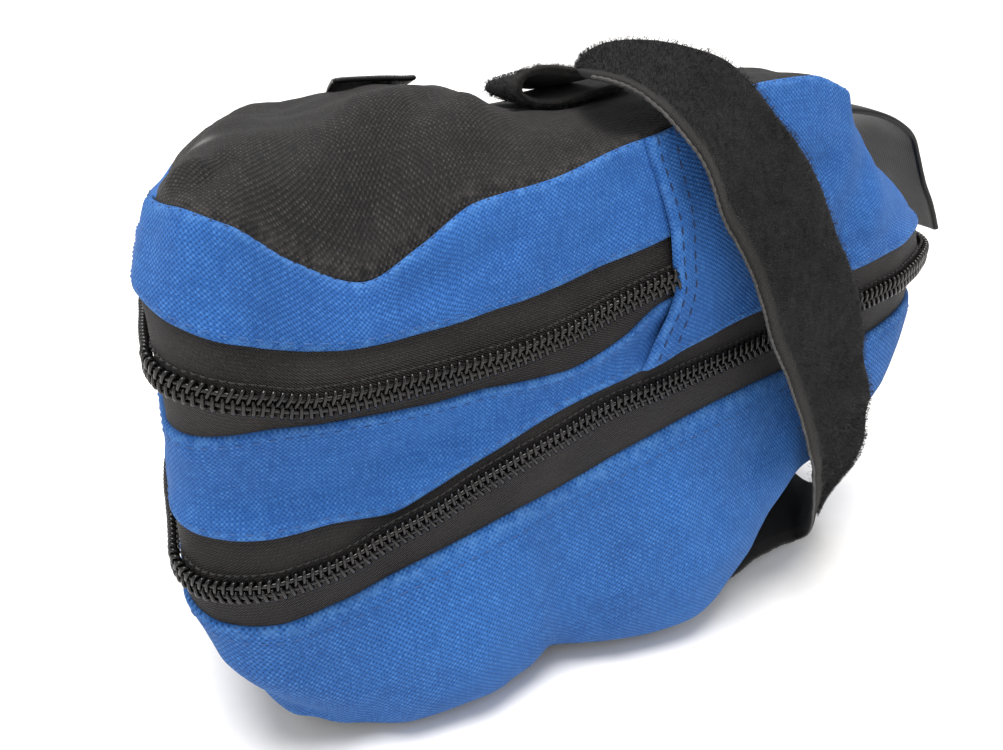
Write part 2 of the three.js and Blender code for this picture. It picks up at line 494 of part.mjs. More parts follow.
// ---------------------------------------------------------------- sliders
// One plain piece for each zip, on the far side: body and hanging tab.
function slider(seam, at) {
  const p = seamPoint(seam, at, 1), n = outward(seam, at, 1);
  const along = V(0, 0, 1).cross(n).normalize();
  const basis = new THREE.Matrix4().makeBasis(along, V(0, 0, 1), n).setPosition(p.addScaledVector(n, COIL_CLEAR + COIL_DEPTH + 0.6));
  const body = new THREE.Shape();
  const l = SLIDER.length / 2, w = SLIDER.width / 2;
  body.moveTo(-l, -w * 0.62).lineTo(l * 0.5, -w).lineTo(l, -w * 0.7).lineTo(l, w * 0.7).lineTo(l * 0.5, w).lineTo(-l, w * 0.62).closePath();
  const tab = new THREE.Shape();
  const t = SLIDER.tabWidth / 2;
  tab.moveTo(-t, 1.5).lineTo(-t, -SLIDER.tab).lineTo(t, -SLIDER.tab).lineTo(t, 1.5).closePath();
  const block = new THREE.ExtrudeGeometry(body, { depth: SLIDER.depth - 1.2, bevelEnabled: false });
  const pull = new THREE.ExtrudeGeometry(tab, { depth: SLIDER.tabDepth, bevelEnabled: false });
  pull.translate(0, 0, SLIDER.depth - 1.6);
  return manifoldOf(block, basis).add(manifoldOf(pull, basis));
}
add("upper_zip_slider", slider("zipA", 76), "metal");
add("lower_zip_slider", slider("zipB", 60), "metal");

// ---------------------------------------------------------------- frame
// Origin under the middle of the whole bag, on the surface it lies on.
part.updateMatrixWorld(true);
const extent = new THREE.Box3().setFromObject(bag);
const middle = extent.getCenter(new THREE.Vector3());
bag.position.set(-middle.x, -middle.y, -extent.min.z);

export default part;
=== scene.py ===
import json
import math

import bmesh
import bpy
import numpy as np
from mathutils import Euler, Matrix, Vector

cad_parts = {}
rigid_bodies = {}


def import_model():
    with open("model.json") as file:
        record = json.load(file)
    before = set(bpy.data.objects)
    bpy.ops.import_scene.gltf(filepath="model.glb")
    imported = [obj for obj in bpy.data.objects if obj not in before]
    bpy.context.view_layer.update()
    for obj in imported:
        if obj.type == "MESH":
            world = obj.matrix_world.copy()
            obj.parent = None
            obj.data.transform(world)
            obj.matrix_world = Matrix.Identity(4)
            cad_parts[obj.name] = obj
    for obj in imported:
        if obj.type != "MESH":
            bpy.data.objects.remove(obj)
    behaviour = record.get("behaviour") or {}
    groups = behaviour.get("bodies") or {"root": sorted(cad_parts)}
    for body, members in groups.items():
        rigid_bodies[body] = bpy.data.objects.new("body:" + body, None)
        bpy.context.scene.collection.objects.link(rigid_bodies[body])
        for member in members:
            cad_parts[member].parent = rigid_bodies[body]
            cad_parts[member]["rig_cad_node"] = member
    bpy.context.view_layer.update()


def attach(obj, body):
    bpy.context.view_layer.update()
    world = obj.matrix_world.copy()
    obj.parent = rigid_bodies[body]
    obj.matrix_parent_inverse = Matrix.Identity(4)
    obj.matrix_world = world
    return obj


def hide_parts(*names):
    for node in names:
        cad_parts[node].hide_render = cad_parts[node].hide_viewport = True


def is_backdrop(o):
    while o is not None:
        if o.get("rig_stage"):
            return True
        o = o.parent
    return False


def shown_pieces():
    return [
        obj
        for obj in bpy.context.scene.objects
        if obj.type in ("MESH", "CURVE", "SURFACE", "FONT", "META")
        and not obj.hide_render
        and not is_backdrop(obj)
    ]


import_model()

SHIFT = np.array([-92.3587, 0.3688, 0.0])
RNG = np.random.default_rng(20531)
RIDE = "root"

# ---------------------------------------------------------------- sizes
CORNER_R, X_SIDE, X_NOSE, X_SEAM = 12.0, 12.0, 140.0, 93.0
SPINE = {"top": (25.0, 118.0), "base": (26.0, 140.0)}
BASE_RIM, RIDGE_AT = 0.36, 0.66
STEP = 1.2  # spacing of the cloth's mesh
COIL_PITCH, COIL_WIRE = 1.57, 0.35
THICK = {"cloth": 1.0, "tape": 0.8, "pile": 1.5, "strap": 1.6}

PLAN = {
    "top": (0, 39, 21, 148),
    "bandLow": (-4.6, 43, 24.5, 158),
    "zipA": (-4.4, 45, 26, 163),
    "midTop": (-4.6, 44.2, 26.5, 166),
    "midLow": (-6, 45, 28, 179),
    "zipB": (-6.2, 46.5, 28, 183),
    "lowTop": (-6, 46.5, 27.5, 181.5),
    "belly": (-2, 47, 33, 172),
    "base": (5, 42.5, 24, 152),
}
# x, near belly, near base, far belly, far base
SWELL = np.array([
    (12, 47.0, 42.5, 47.0, 42.5), (22, 47.5, 43.2, 47.0, 42.3), (34, 50.0, 43.6, 46.6, 41.6), (49, 49.0, 42.0, 45.6, 40.2),
    (62, 44.6, 38.0, 44.6, 38.8), (70, 41.5, 35.0, 43.8, 37.8), (77, 42.5, 35.6, 43.0, 37.0), (86, 44.0, 37.0, 42.2, 35.8),
    (98, 44.4, 37.0, 40.6, 34.0), (108, 43.0, 35.4, 39.2, 32.4), (118, 40.0, 31.6, 37.4, 30.4), (130, 36.4, 27.6, 35.0, 27.4),
    (140, 33.0, 24.0, 33.0, 24.0),
])
SEAM_NAMES = ("top", "topFar", "bandLow", "zipA", "midTop", "midLow", "zipB", "lowTop", "belly", "base")
SEAMS = np.array([
    (-40, 103.8, 103.8, 99.5, 88.0, 77.0, 58.0, 49.0, 42.0, 30, 17.0),
    (-2, 113.6, 104.5, 99.5, 87.8, 76.5, 58.0, 48.3, 41.0, 28, 15.0),
    (5, 113.8, 108.0, 96.0, 86.0, 76.0, 55.7, 46.0, 37.6, 24, 12.5),
    (12, 111.0, 112.6, 91.8, 83.0, 76.5, 55.0, 46.0, 36.6, 20, 9.0),
    (22, 103.4, 114.0, 88.6, 80.2, 75.5, 54.8, 46.5, 37.5, 16, 4.5),
    (33, 98.3, 114.0, 87.6, 80.0, 74.9, 53.4, 49.3, 40.3, 15, 2.2),
    (43, 103.0, 112.5, 88.2, 80.0, 74.5, 56.5, 52.3, 42.6, 15, 1.6),
    (54, 109.5, 113.5, 89.6, 80.6, 74.9, 60.9, 56.6, 45.3, 15, 1.6),
    (70, 112.2, 115.5, 92.3, 83.2, 74.9, 67.0, 62.0, 49.0, 17, 4.0),
    (84, 116.5, 118.0, 95.7, 87.5, 79.5, 70.3, 65.7, 53.1, 17.5, 3.6),
    (94, 118.8, 120.5, 98.0, 90.3, 85.3, 72.4, 67.4, 55.8, 18, 3.2),
    (106, 123.5, 123.0, 101.0, 93.0, 88.5, 75.9, 69.6, 59.0, 19.5, 4.4),
    (118, 126.5, 125.5, 103.0, 95.0, 90.5, 79.3, 71.8, 61.5, 26, 11.0),
    (130, 127.0, 125.5, 104.0, 96.0, 91.5, 81.8, 73.8, 63.5, 39, 25.0),
    (140, 123.6, 122.6, 104.5, 96.5, 92.0, 83.6, 75.2, 64.8, 45.5, 32.0),
    (155, 116.4, 117.0, 105.0, 97.0, 93.0, 87.0, 78.5, 67.5, 50, 37.0),
    (170, 113.4, 114.0, 105.5, 98.0, 94.0, 89.5, 81.0, 70.5, 52.5, 39.5),
    (190, 112.6, 112.6, 106.0, 99.0, 95.0, 90.5, 82.0, 71.5, 53, 40.0),
])
# x, ridge, middle
TOP = np.array([
    (25, 122.2, 121.6), (36, 124.8, 123.8), (46, 127.0, 125.2), (56, 126.2, 125.2), (68, 121.6, 120.4),
    (82, 119.9, 119.4), (96, 122.2, 121.6), (108, 125.8, 125.2), (118, 126.6, 126.0),
])
KEEL = np.array([(26, 0), (90, 0), (98, 2.7), (109, 4.2), (118, 6.8), (130, 13.8), (140, 23.5)])
# left edge x y z, right edge x y z
WRAP = np.array([
    (78.5, -22.0, 127.4, 86.5, 1.0, 129.8), (83.0, -24.0, 127.8, 93.0, -2.0, 132.2), (88.0, -27.2, 125.8, 101.0, -7.0, 132.8),
    (93.0, -31.2, 121.0, 107.0, -14.6, 131.6), (98.0, -36.0, 113.6, 110.8, -24.2, 128.8), (103.0, -37.8, 102.2, 118.5, -28.7, 119.6),
    (108.5, -39.7, 93.2, 125.0, -33.0, 110.2), (111.5, -41.7, 84.9, 132.5, -36.0, 94.9), (114.0, -43.0, 77.6, 135.5, -38.0, 88.3),
    (118.0, -44.0, 70.0, 140.0, -38.5, 77.2), (122.5, -43.8, 61.5, 143.5, -37.0, 67.6), (127.0, -42.6, 53.0, 148.5, -36.0, 57.3),
    (131.5, -41.0, 44.3, 151.5, -33.0, 50.4), (136.0, -37.8, 35.5, 157.0, -28.5, 39.8), (141.0, -33.5, 26.6, 162.0, -21.5, 28.0),
    (146.0, -28.5, 18.5, 165.0, -13.5, 18.5), (149.8, -24.5, 11.0, 165.5, -6.5, 10.5), (152.0, -20.8, 5.0, 164.0, -2.5, 9.6),
    (151.8, -18.0, 1.9, 159.5, 1.6, 13.0), (147.0, -17.8, 1.3, 151.0, 3.4, 13.6), (137.5, -20.4, 1.3, 134.5, 3.0, 9.0),
    (126.5, -25.0, 1.3, 119.5, -1.0, 2.6), (114.0, -29.6, 1.3, 105.5, -6.2, 1.3),
])
LOOP = {"y": 7.0, "width": 22.0, "tilt": -1.0}
# x, z, how far the far edge sags
LOOP_PATH = np.array([
    (99.0, 123.9, 0.0), (92.0, 122.6, 0.0), (86.0, 121.3, 0.0), (80.0, 120.5, 0.0), (75.6, 121.2, 0.0), (73.0, 123.2, 0.6),
    (73.5, 125.8, 1.8), (76.4, 127.5, 3.0), (80.0, 127.7, 3.4), (84.0, 127.2, 3.3), (88.0, 126.6, 2.6), (91.0, 126.2, 1.8),
])
FAR_STRAP = {"x": 45.0, "width": 17.0}
FAR_PATH = np.array([(6.0, 1.9), (12.0, 1.8), (19.0, 1.9), (26.0, 2.0), (31.0, 2.0)])  # y, lift
FRONT = {"y": 8.5, "width": 25.0}
FRONT_PATH = np.array([
    (150.0, 115.2), (158.0, 115.6), (166.4, 114.2), (173.0, 111.6), (177.8, 108.2), (180.6, 103.4), (184.0, 97.0), (188.4, 90.2),
    (192.6, 82.0),
])

# Soft folds of the open side's walls: from station and height to station and
# height, half width, how far out, all in mm. Hollows are negative.
WALL_FOLDS = np.array([
    (40, 95.5, 60, 101.5, 2.6, -0.9), (38, 99.5, 52, 106.0, 3.0, 0.7), (1, 96, 2, 112, 2.6, -0.5), (9, 92, 8, 108, 2.6, 0.5),
    (19, 88, 17, 101, 3.0, -0.5), (28, 90, 30, 97, 3.0, 0.4), (62, 96, 70, 107, 4.0, 0.5), (78, 99, 84, 110, 4.0, -0.5),
    (10, 63, 22, 61, 3.6, -1.0), (-6, 66, 4, 72, 3.6, 0.9), (34, 64, 46, 66, 3.8, -1.1), (54, 68, 64, 72, 3.0, 0.5),
    (24, 68, 32, 70, 3.0, 0.5), (-2, 24, 16, 10, 2.4, -0.9), (4, 28, 22, 15, 3.0, 0.7), (118, 45, 124, 47, 4.0, -1.2),
    (60, 40, 67, 14, 4.0, 0.6), (84, 46, 80, 16, 4.0, -0.5), (44, 34, 50, 10, 5.0, 0.5), (30, 30, 27, 10, 4.5, -0.5),
    (124, 106, 132, 109, 5.0, -1.2), (104, 84, 108, 104, 5.0, 0.6), (100, 110, 112, 121, 4.0, -0.5), (98, 44, 104, 22, 4.5, 0.6),
    (136, 88, 146, 104, 5.0, -0.8), (150, 96, 158, 112, 5.0, 0.8),
])
# Folds of the top, from x y to x y, half width, height.
TOP_FOLDS = np.array([
    (34, -33, 50, -15, 3.4, -1.4), (24, -30, 38, -15, 4.0, 0.9), (46, -34, 58, -17, 3.6, 1.0), (50, -15, 66, -6, 4.0, -0.8),
    (3, -30, 8, -27, 1.9, 1.5), (8, -33, 13, -27, 1.7, -1.0), (12, -15, 30, -14, 4.0, -0.8), (62, -26, 72, -12, 3.4, -0.7),
    (76, -26, 82, -12, 3.6, 0.8), (10, 8, 34, 16, 5.0, 0.9), (56, 12, 84, 10, 5.0, -0.9), (96, 6, 118, 8, 4.0, 0.6),
    (66, -4, 74, 4, 3.0, -0.8), (30, 2, 44, 8, 4.0, 0.5),
])


# ---------------------------------------------------------------- shape
def curve(xs, ys):
    """Smooth curve that never overshoots, level at its ends."""
    xs, ys = np.asarray(xs, float), np.asarray(ys, float)
    h = np.diff(xs)
    d = np.diff(ys) / h
    m = np.zeros(len(xs))
    for j in range(1, len(xs) - 1):
        if d[j - 1] * d[j] > 0:
            a, b = 2 * h[j] + h[j - 1], h[j] + 2 * h[j - 1]
            m[j] = (a + b) / (a / d[j - 1] + b / d[j])

    def at(x):
        x = np.clip(x, xs[0], xs[-1])
        i = np.clip(np.searchsorted(xs, x) - 1, 0, len(xs) - 2)
        t = (x - xs[i]) / h[i]
        t2, t3 = t * t, t * t * t
        return (2 * t3 - 3 * t2 + 1) * ys[i] + (t3 - 2 * t2 + t) * m[i] * h[i] + (3 * t2 - 2 * t3) * ys[i + 1] + (t3 - t2) * m[i + 1] * h[i]

    return at


HEIGHT = {n: curve(SEAMS[:, 0], SEAMS[:, k + 1]) for k, n in enumerate(SEAM_NAMES)}
SIDE_OF = {
    "belly": (curve(SWELL[:, 0], SWELL[:, 1]), curve(SWELL[:, 0], SWELL[:, 3])),
    "base": (curve(SWELL[:, 0], SWELL[:, 2]), curve(SWELL[:, 0], SWELL[:, 4])),
}
ridge_z, middle_z, keel_z = curve(TOP[:, 0], TOP[:, 1]), curve(TOP[:, 0], TOP[:, 2]), curve(KEEL[:, 0], KEEL[:, 1])


def unit(v):
    return v / np.maximum(np.linalg.norm(v, axis=-1, keepdims=True), 1e-12)


def outline(name, at, side):
    rear, wide, narrow, nose = PLAN[name]
    f = (at + 40) / 38
    a = np.clip((at + 2) / 14, 0, 1) * math.pi / 2
    taper = (narrow - wide) / (X_NOSE - X_SIDE)
    b = np.clip((at - 140) / 50, 0, 1) * math.pi / 2
    along = wide + taper * (at - X_SIDE)
    if name in SIDE_OF:
        along = np.where(side < 0, SIDE_OF[name][0](at), SIDE_OF[name][1](at))
    half = (narrow + taper * (nose - X_NOSE) * np.sin(b) * 0.6) * np.maximum(0, np.cos(b)) ** 0.75
    x = np.select([at <= -2, at <= 12, at <= 140], [rear + 0.8 * f * f, rear + 0.8 + (X_SIDE - rear - 0.8) * (1 - np.cos(a)), at], X_NOSE + (nose - X_NOSE) * np.sin(b))
    y = np.select([at <= -2, at <= 12, at <= 140], [(wide - CORNER_R) * f, wide - CORNER_R + CORNER_R * np.sin(a), along], half)
    return x, side * y


def seam(name, at, side):
    x, y = outline(name, at, side)
    z = np.where(side > 0, HEIGHT["topFar"](at), HEIGHT["top"](at)) if name == "top" else HEIGHT[name](at)
    return np.stack([x, y, z], -1)


def outward(name, at, side):
    x0, y0 = outline(name, np.maximum(-40, at - 0.6), side)
    x1, y1 = outline(name, np.minimum(190, at + 0.6), side)
    n = unit(np.stack([y1 - y0, -(x1 - x0), np.zeros_like(x0)], -1))
    n = n * np.where(n[..., 1] * side >= 0, 1.0, -1.0)[..., None]
    # the two ends of the bag, where both sides meet, face straight out
    near_rear = np.clip((at + 40) / 3, 0, 1)[..., None]
    near_nose = np.clip((190 - at) / 6, 0, 1)[..., None]
    n = n * near_rear + np.array([-1.0, 0, 0]) * (1 - near_rear)
    return unit(n * near_nose + np.array([1.0, 0, 0]) * (1 - near_nose))


def stations(lo, hi, step=STEP):
    at = np.linspace(lo, hi, 3000)
    p = seam("zipB", at, np.full_like(at, -1.0))
    s = np.concatenate([[0], np.cumsum(np.linalg.norm(np.diff(p[:, :2], axis=0), axis=1))])
    n = max(3, int(round(s[-1] / step)))
    return np.interp(np.linspace(0, s[-1], n + 1), s, at)


# how far the upright seam bows along the bag, by height
bow = curve([70, 72.4, 75, 79, 84, 88, 93, 99, 105, 110, 119, 121], [-4.2, -4.2, -3.0, -0.6, 1.6, 2.2, 1.4, 1.2, 0.0, -1.5, -4.0, -4.0])


def warp(at, side, z):
    """Stations near the upright seam, moved so that the seam bows."""
    return at + np.where(side < 0, bow(z), 0.0) * np.exp(-(((at - X_SEAM) / 9.0) ** 2))


def around(part, step=STEP):
    if part == "all":
        a = np.concatenate([stations(-40, 93, step), stations(93, 190, step)[1:]])
        return np.concatenate([a, a[-2:0:-1]]), np.concatenate([-np.ones(len(a)), np.ones(len(a) - 2)])
    if part == "rear":
        a = stations(-40, X_SEAM + 2.0, step)
        return np.concatenate([a[::-1], a[1:]]), np.concatenate([-np.ones(len(a)), np.ones(len(a) - 1)])
    a = stations(X_SEAM + 0.1, 190, step)
    return np.concatenate([a, a[-2::-1]]), np.concatenate([-np.ones(len(a)), np.ones(len(a) - 1)])


def lattice(ix, iy, iz, seed):
    h = (ix * 374761393 + iy * 668265263 + iz * 1274126177 + seed * 144665) & 0xFFFFFFFF
    h = ((h ^ (h >> 13)) * 1274126177) & 0xFFFFFFFF
    return ((h ^ (h >> 16)) & 0xFFFFFF) / 0x7FFFFF - 1.0


def noise(p, size, seed):
    q = np.asarray(p, float) / np.asarray(size, float) + 1000.0
    i = np.floor(q).astype(np.int64)
    f = q - i
    f = f * f * (3 - 2 * f)
    out = 0.0
    for dx in (0, 1):
        for dy in (0, 1):
            for dz in (0, 1):
                w = (f[..., 0] if dx else 1 - f[..., 0]) * (f[..., 1] if dy else 1 - f[..., 1]) * (f[..., 2] if dz else 1 - f[..., 2])
                out = out + w * lattice(i[..., 0] + dx, i[..., 1] + dy, i[..., 2] + dz, seed)
    return out


def folds(table, a, b):
    out = np.zeros_like(a)
    for a0, b0, a1, b1, wide, high in table:
        u, v = a1 - a0, b1 - b0
        t = np.clip(((a - a0) * u + (b - b0) * v) / (u * u + v * v), 0, 1)
        d2 = (a - a0 - t * u) ** 2 + (b - b0 - t * v) ** 2
        out += high * np.exp(-d2 / (wide * wide))
    return out


def soft(p, at, side):
    """How far the cloth of the walls stands out from its seam surface."""
    d = 0.55 * noise(p, (16, 16, 13), 3) + 0.28 * noise(p, (7, 7, 9), 5) + 0.10 * noise(p, 3.4, 7)
    return d + np.where(side < 0, folds(WALL_FOLDS, at, p[..., 2]), 0.0)


def normals_of(grid, closed, centre):
    du = (np.roll(grid, -1, 1) - np.roll(grid, 1, 1)) if closed else np.gradient(grid, axis=1)
    dv = np.gradient(grid, axis=0)
    n = np.cross(du, dv)
    bad = np.linalg.norm(n, axis=-1) < 1e-9
    n = unit(n)
    if np.sum(n * (grid - np.asarray(centre))) < 0:
        n = -n
    return n, bad


# ---------------------------------------------------------------- meshes
def build(name, verts, faces, uvs=None, point=None, merge=False, smooth=True):
    """Mesh object from arrays. faces is a list of (n, k) arrays, uvs the same
    with two numbers for each corner, point a dict of values for each vertex."""
    faces = [f for f in (faces if isinstance(faces, list) else [faces]) if len(f)]
    co = (np.asarray(verts, float) + SHIFT) / 1000.0
    co[:, 2] = np.maximum(co[:, 2], 0.00004)
    me = bpy.data.meshes.new(name)
    me.vertices.add(len(co))
    me.vertices.foreach_set("co", co.ravel())
    loops = np.concatenate([f.ravel() for f in faces]).astype(np.int32)
    sizes = np.concatenate([np.full(len(f), f.shape[1]) for f in faces])
    me.loops.add(len(loops))
    me.loops.foreach_set("vertex_index", loops)
    me.polygons.add(len(sizes))
    me.polygons.foreach_set("loop_start", np.concatenate([[0], np.cumsum(sizes)[:-1]]).astype(np.int32))
    me.update(calc_edges=True)
    me.polygons.foreach_set("use_smooth", np.full(len(sizes), smooth))
    if uvs is not None:
        layer = me.uv_layers.new(name="UVMap")
        layer.data.foreach_set("uv", np.concatenate([u.reshape(-1, 2) for u in uvs]).astype(np.float32).ravel())
    for key, value in (point or {}).items():
        a = me.attributes.new(key, "FLOAT", "POINT")
        a.data.foreach_set("value", np.asarray(value, np.float32).ravel())
    if merge:
        bm = bmesh.new()
        bm.from_mesh(me)
        bmesh.ops.remove_doubles(bm, verts=bm.verts, dist=2e-6)
        bmesh.ops.dissolve_degenerate(bm, edges=bm.edges, dist=1e-7)
        bm.to_mesh(me)
        bm.free()
    me.validate()
    ob = bpy.data.objects.new(name, me)
    bpy.context.scene.collection.objects.link(ob)
    return ob


def slab(name, skin, lining, uv, closed, point=None, lid=False, merge=False):
    """Closed cloth between two point grids. uv has one more column than the
    grid where the grid closes on itself."""
    rows, cols = skin.shape[:2]
    verts = np.concatenate([skin.reshape(-1, 3), lining.reshape(-1, 3)])
    last = cols if closed else cols - 1
    r, c = np.meshgrid(np.arange(rows - 1), np.arange(last), indexing="ij")
    r, c = r.ravel(), c.ravel()
    ident = lambda g, i, j: g * rows * cols + i * cols + (j % cols)
    tex = lambda i, j: uv[i, j] if closed else uv[i, np.minimum(j, cols - 1)]
    corners = [(r, c), (r, c + 1), (r + 1, c + 1), (r + 1, c)]
    faces = [np.stack([ident(0, i, j) for i, j in corners], 1), np.stack([ident(1, i, j) for i, j in corners[::-1]], 1)]
    uvs = [np.stack([tex(i, j) for i, j in corners], 1), np.stack([tex(i, j) for i, j in corners[::-1]], 1)]
    c = np.arange(last)
    ends = [(0, [(0, 1), (0, 0), (1, 0), (1, 1)])]
    if not lid:
        ends.append((rows - 1, [(0, 0), (0, 1), (1, 1), (1, 0)]))
    for row, order in ends:
        faces.append(np.stack([ident(g, row, c + k) for g, k in order], 1))
        uvs.append(np.stack([tex(np.full_like(c, row), c + k) for g, k in order], 1))
    if not closed:
        r = np.arange(rows - 1)
        for col, order in ((0, [(0, 0), (0, 1), (1, 1), (1, 0)]), (cols - 1, [(0, 1), (0, 0), (1, 0), (1, 1)])):
            faces.append(np.stack([ident(g, r + k, np.full_like(r, col)) for g, k in order], 1))
            uvs.append(np.stack([tex(r + k, np.full_like(r, col)) for g, k in order], 1))
    quads = np.concatenate(faces)
    tex_all = np.concatenate(uvs)
    p = verts[quads]
    volume = np.sum(np.cross(p[:, 0], p[:, 1]) * p[:, 2]) + np.sum(np.cross(p[:, 0], p[:, 2]) * p[:, 3])
    if volume < 0:
        quads, tex_all = quads[:, ::-1], tex_all[:, ::-1]
    both = {k: np.concatenate([v.ravel(), v.ravel()]) for k, v in (point or {}).items()}
    return build(name, verts, quads, [tex_all], both, merge)


def uv_of(grid, closed, at_row=None):
    """Texture lengths in mm: along the rows and down the columns."""
    rows, cols = grid.shape[:2]
    mid = grid[rows // 2 if at_row is None else at_row]
    if closed:
        mid = np.concatenate([mid, mid[:1]])
    u = np.concatenate([[0], np.cumsum(np.linalg.norm(np.diff(mid, axis=0), axis=1))])
    v = np.concatenate([np.zeros((1, cols)), np.cumsum(np.linalg.norm(np.diff(grid, axis=0), axis=2), 0)])
    if closed:
        v = np.concatenate([v, v[:, :1]], 1)
    return np.stack([np.broadcast_to(u, v.shape), v], -1)


def tubes(paths, ups, radii, sides):
    """Closed round threads along paths (n, k, 3)."""
    n, k = paths.shape[:2]
    t = unit(np.gradient(paths, axis=1))
    s = unit(np.cross(t, ups))
    u = np.cross(s, t)
    a = np.arange(sides) * 2 * math.pi / sides
    r = np.broadcast_to(radii, (n, k))[..., None, None]
    verts = paths[:, :, None] + r * (np.cos(a)[:, None] * s[:, :, None] + np.sin(a)[:, None] * u[:, :, None])
    ids = np.arange(n * k * sides).reshape(n, k, sides)
    nxt = np.roll(ids, -1, 2)
    quads = np.stack([ids[:, :-1], nxt[:, :-1], nxt[:, 1:], ids[:, 1:]], -1).reshape(-1, 4)
    first, end = ids[:, 0], ids[:, -1]
    return verts.reshape(-1, 3), [quads, first[:, ::-1].reshape(-1, sides), end.reshape(-1, sides)]


def join(parts):
    """Several (verts, faces) as one."""
    verts, faces, base = [], [], 0
    for v, f in parts:
        verts.append(v)
        faces += [x + base for x in f]
        base += len(v)
    return np.concatenate(verts), faces


def sample(grid, rows, cols):
    """Points of a grid at fractional rows and columns."""
    r = np.clip(np.asarray(rows, float), 0, grid.shape[0] - 1.001)
    c = np.clip(np.asarray(cols, float), 0, grid.shape[1] - 1.001)
    i, j = r.astype(int), c.astype(int)
    f, g = (r - i)[..., None], (c - j)[..., None]
    return grid[i, j] * (1 - f) * (1 - g) + grid[i + 1, j] * f * (1 - g) + grid[i, j + 1] * (1 - f) * g + grid[i + 1, j + 1] * f * g


def stitches(line, normal, length, gap, radius, lift=0.1, closed=False, start=0.6):
    """Short sewn threads along a line on the cloth."""
    s = np.concatenate([[0], np.cumsum(np.linalg.norm(np.diff(line, axis=0), axis=1))])
    count = int((s[-1] - 2 * start) // (length + gap))
    if count < 1:
        return np.zeros((0, 3)), []
    k = 6
    wobble = RNG.normal(0, 0.06, count)
    at = start + (np.arange(count) * (length + gap))[:, None] + np.linspace(0, length, k)[None] + wobble[:, None]
    p = np.stack([np.interp(at, s, line[:, i]) for i in range(3)], -1)
    n = unit(np.stack([np.interp(at, s, normal[:, i]) for i in range(3)], -1))
    rise = lift * np.sin(np.linspace(0, math.pi, k)) ** 0.6 - 0.16 * (np.abs(np.linspace(-1, 1, k)) ** 6)
    fat = radius * np.array([0.35, 0.85, 1, 1, 0.85, 0.35])
    return tubes(p + n * rise[None, :, None], n, fat[None], 6)


# ---------------------------------------------------------------- materials
class Graph:
    def __init__(self, name):
        self.mat = bpy.data.materials.new(name)
        self.mat.use_nodes = True
        self.t = self.mat.node_tree
        self.t.nodes.clear()
        self.out = self.t.nodes.new("ShaderNodeOutputMaterial")
        self.shader = self.t.nodes.new("ShaderNodeBsdfPrincipled")
        self.t.links.new(self.shader.outputs[0], self.out.inputs[0])
        self.uv = self.node("ShaderNodeUVMap", uv_map="UVMap").outputs[0]
        self.place = self.node("ShaderNodeTexCoord").outputs["Object"]

    def node(self, kind, inputs=None, **props):
        n = self.t.nodes.new(kind)
        for k, v in props.items():
            setattr(n, k, v)
        for k, v in (inputs or {}).items():
            if isinstance(v, bpy.types.NodeSocket):
                self.t.links.new(v, n.inputs[k])
            else:
                n.inputs[k].default_value = v
        return n

    def math(self, op, a, b=0.0, clamp=False):
        return self.node("ShaderNodeMath", {0: a, 1: b}, operation=op, use_clamp=clamp).outputs[0]

    def mix(self, fac, a, b):
        col = lambda v: v if isinstance(v, bpy.types.NodeSocket) else (*v, 1.0)
        return self.node("ShaderNodeMix", {0: fac, 6: col(a), 7: col(b)}, data_type="RGBA").outputs[2]

    def span(self, v, lo, hi, to_lo=0.0, to_hi=1.0):
        return self.node("ShaderNodeMapRange", {0: v, 1: lo, 2: hi, 3: to_lo, 4: to_hi}, interpolation_type="SMOOTHSTEP").outputs[0]

    def noise(self, vector, scale, detail=3.0, rough=0.55):
        return self.node("ShaderNodeTexNoise", {"Vector": vector, "Scale": scale, "Detail": detail, "Roughness": rough}).outputs[0]

    def stretch(self, vector, x, y, z=1.0):
        return self.node("ShaderNodeVectorMath", {0: vector, 1: (x, y, z)}, operation="MULTIPLY").outputs[0]

    def axes(self, vector):
        n = self.node("ShaderNodeSeparateXYZ", {0: vector})
        return n.outputs[0], n.outputs[1]

    def value(self, name):
        return self.node("ShaderNodeAttribute", attribute_name=name).outputs["Fac"]

    def set(self, **values):
        names = {"rough": "Roughness", "spec": "Specular IOR Level", "sheen": "Sheen Weight", "sheen_rough": "Sheen Roughness", "metal": "Metallic", "coat": "Coat Weight", "coat_rough": "Coat Roughness", "aniso": "Anisotropic"}
        for k, v in values.items():
            self.shader.inputs[names[k]].default_value = v

    def finish(self, colour, height=None, depth=0.0001, strength=1.0, rough=None):
        self.t.links.new(colour, self.shader.inputs["Base Color"])
        if rough is not None:
            self.t.links.new(rough, self.shader.inputs["Roughness"])
        if height is not None:
            b = self.node("ShaderNodeBump", {"Strength": strength, "Distance": depth, "Height": height})
            self.t.links.new(b.outputs[0], self.shader.inputs["Normal"])
        return self.mat


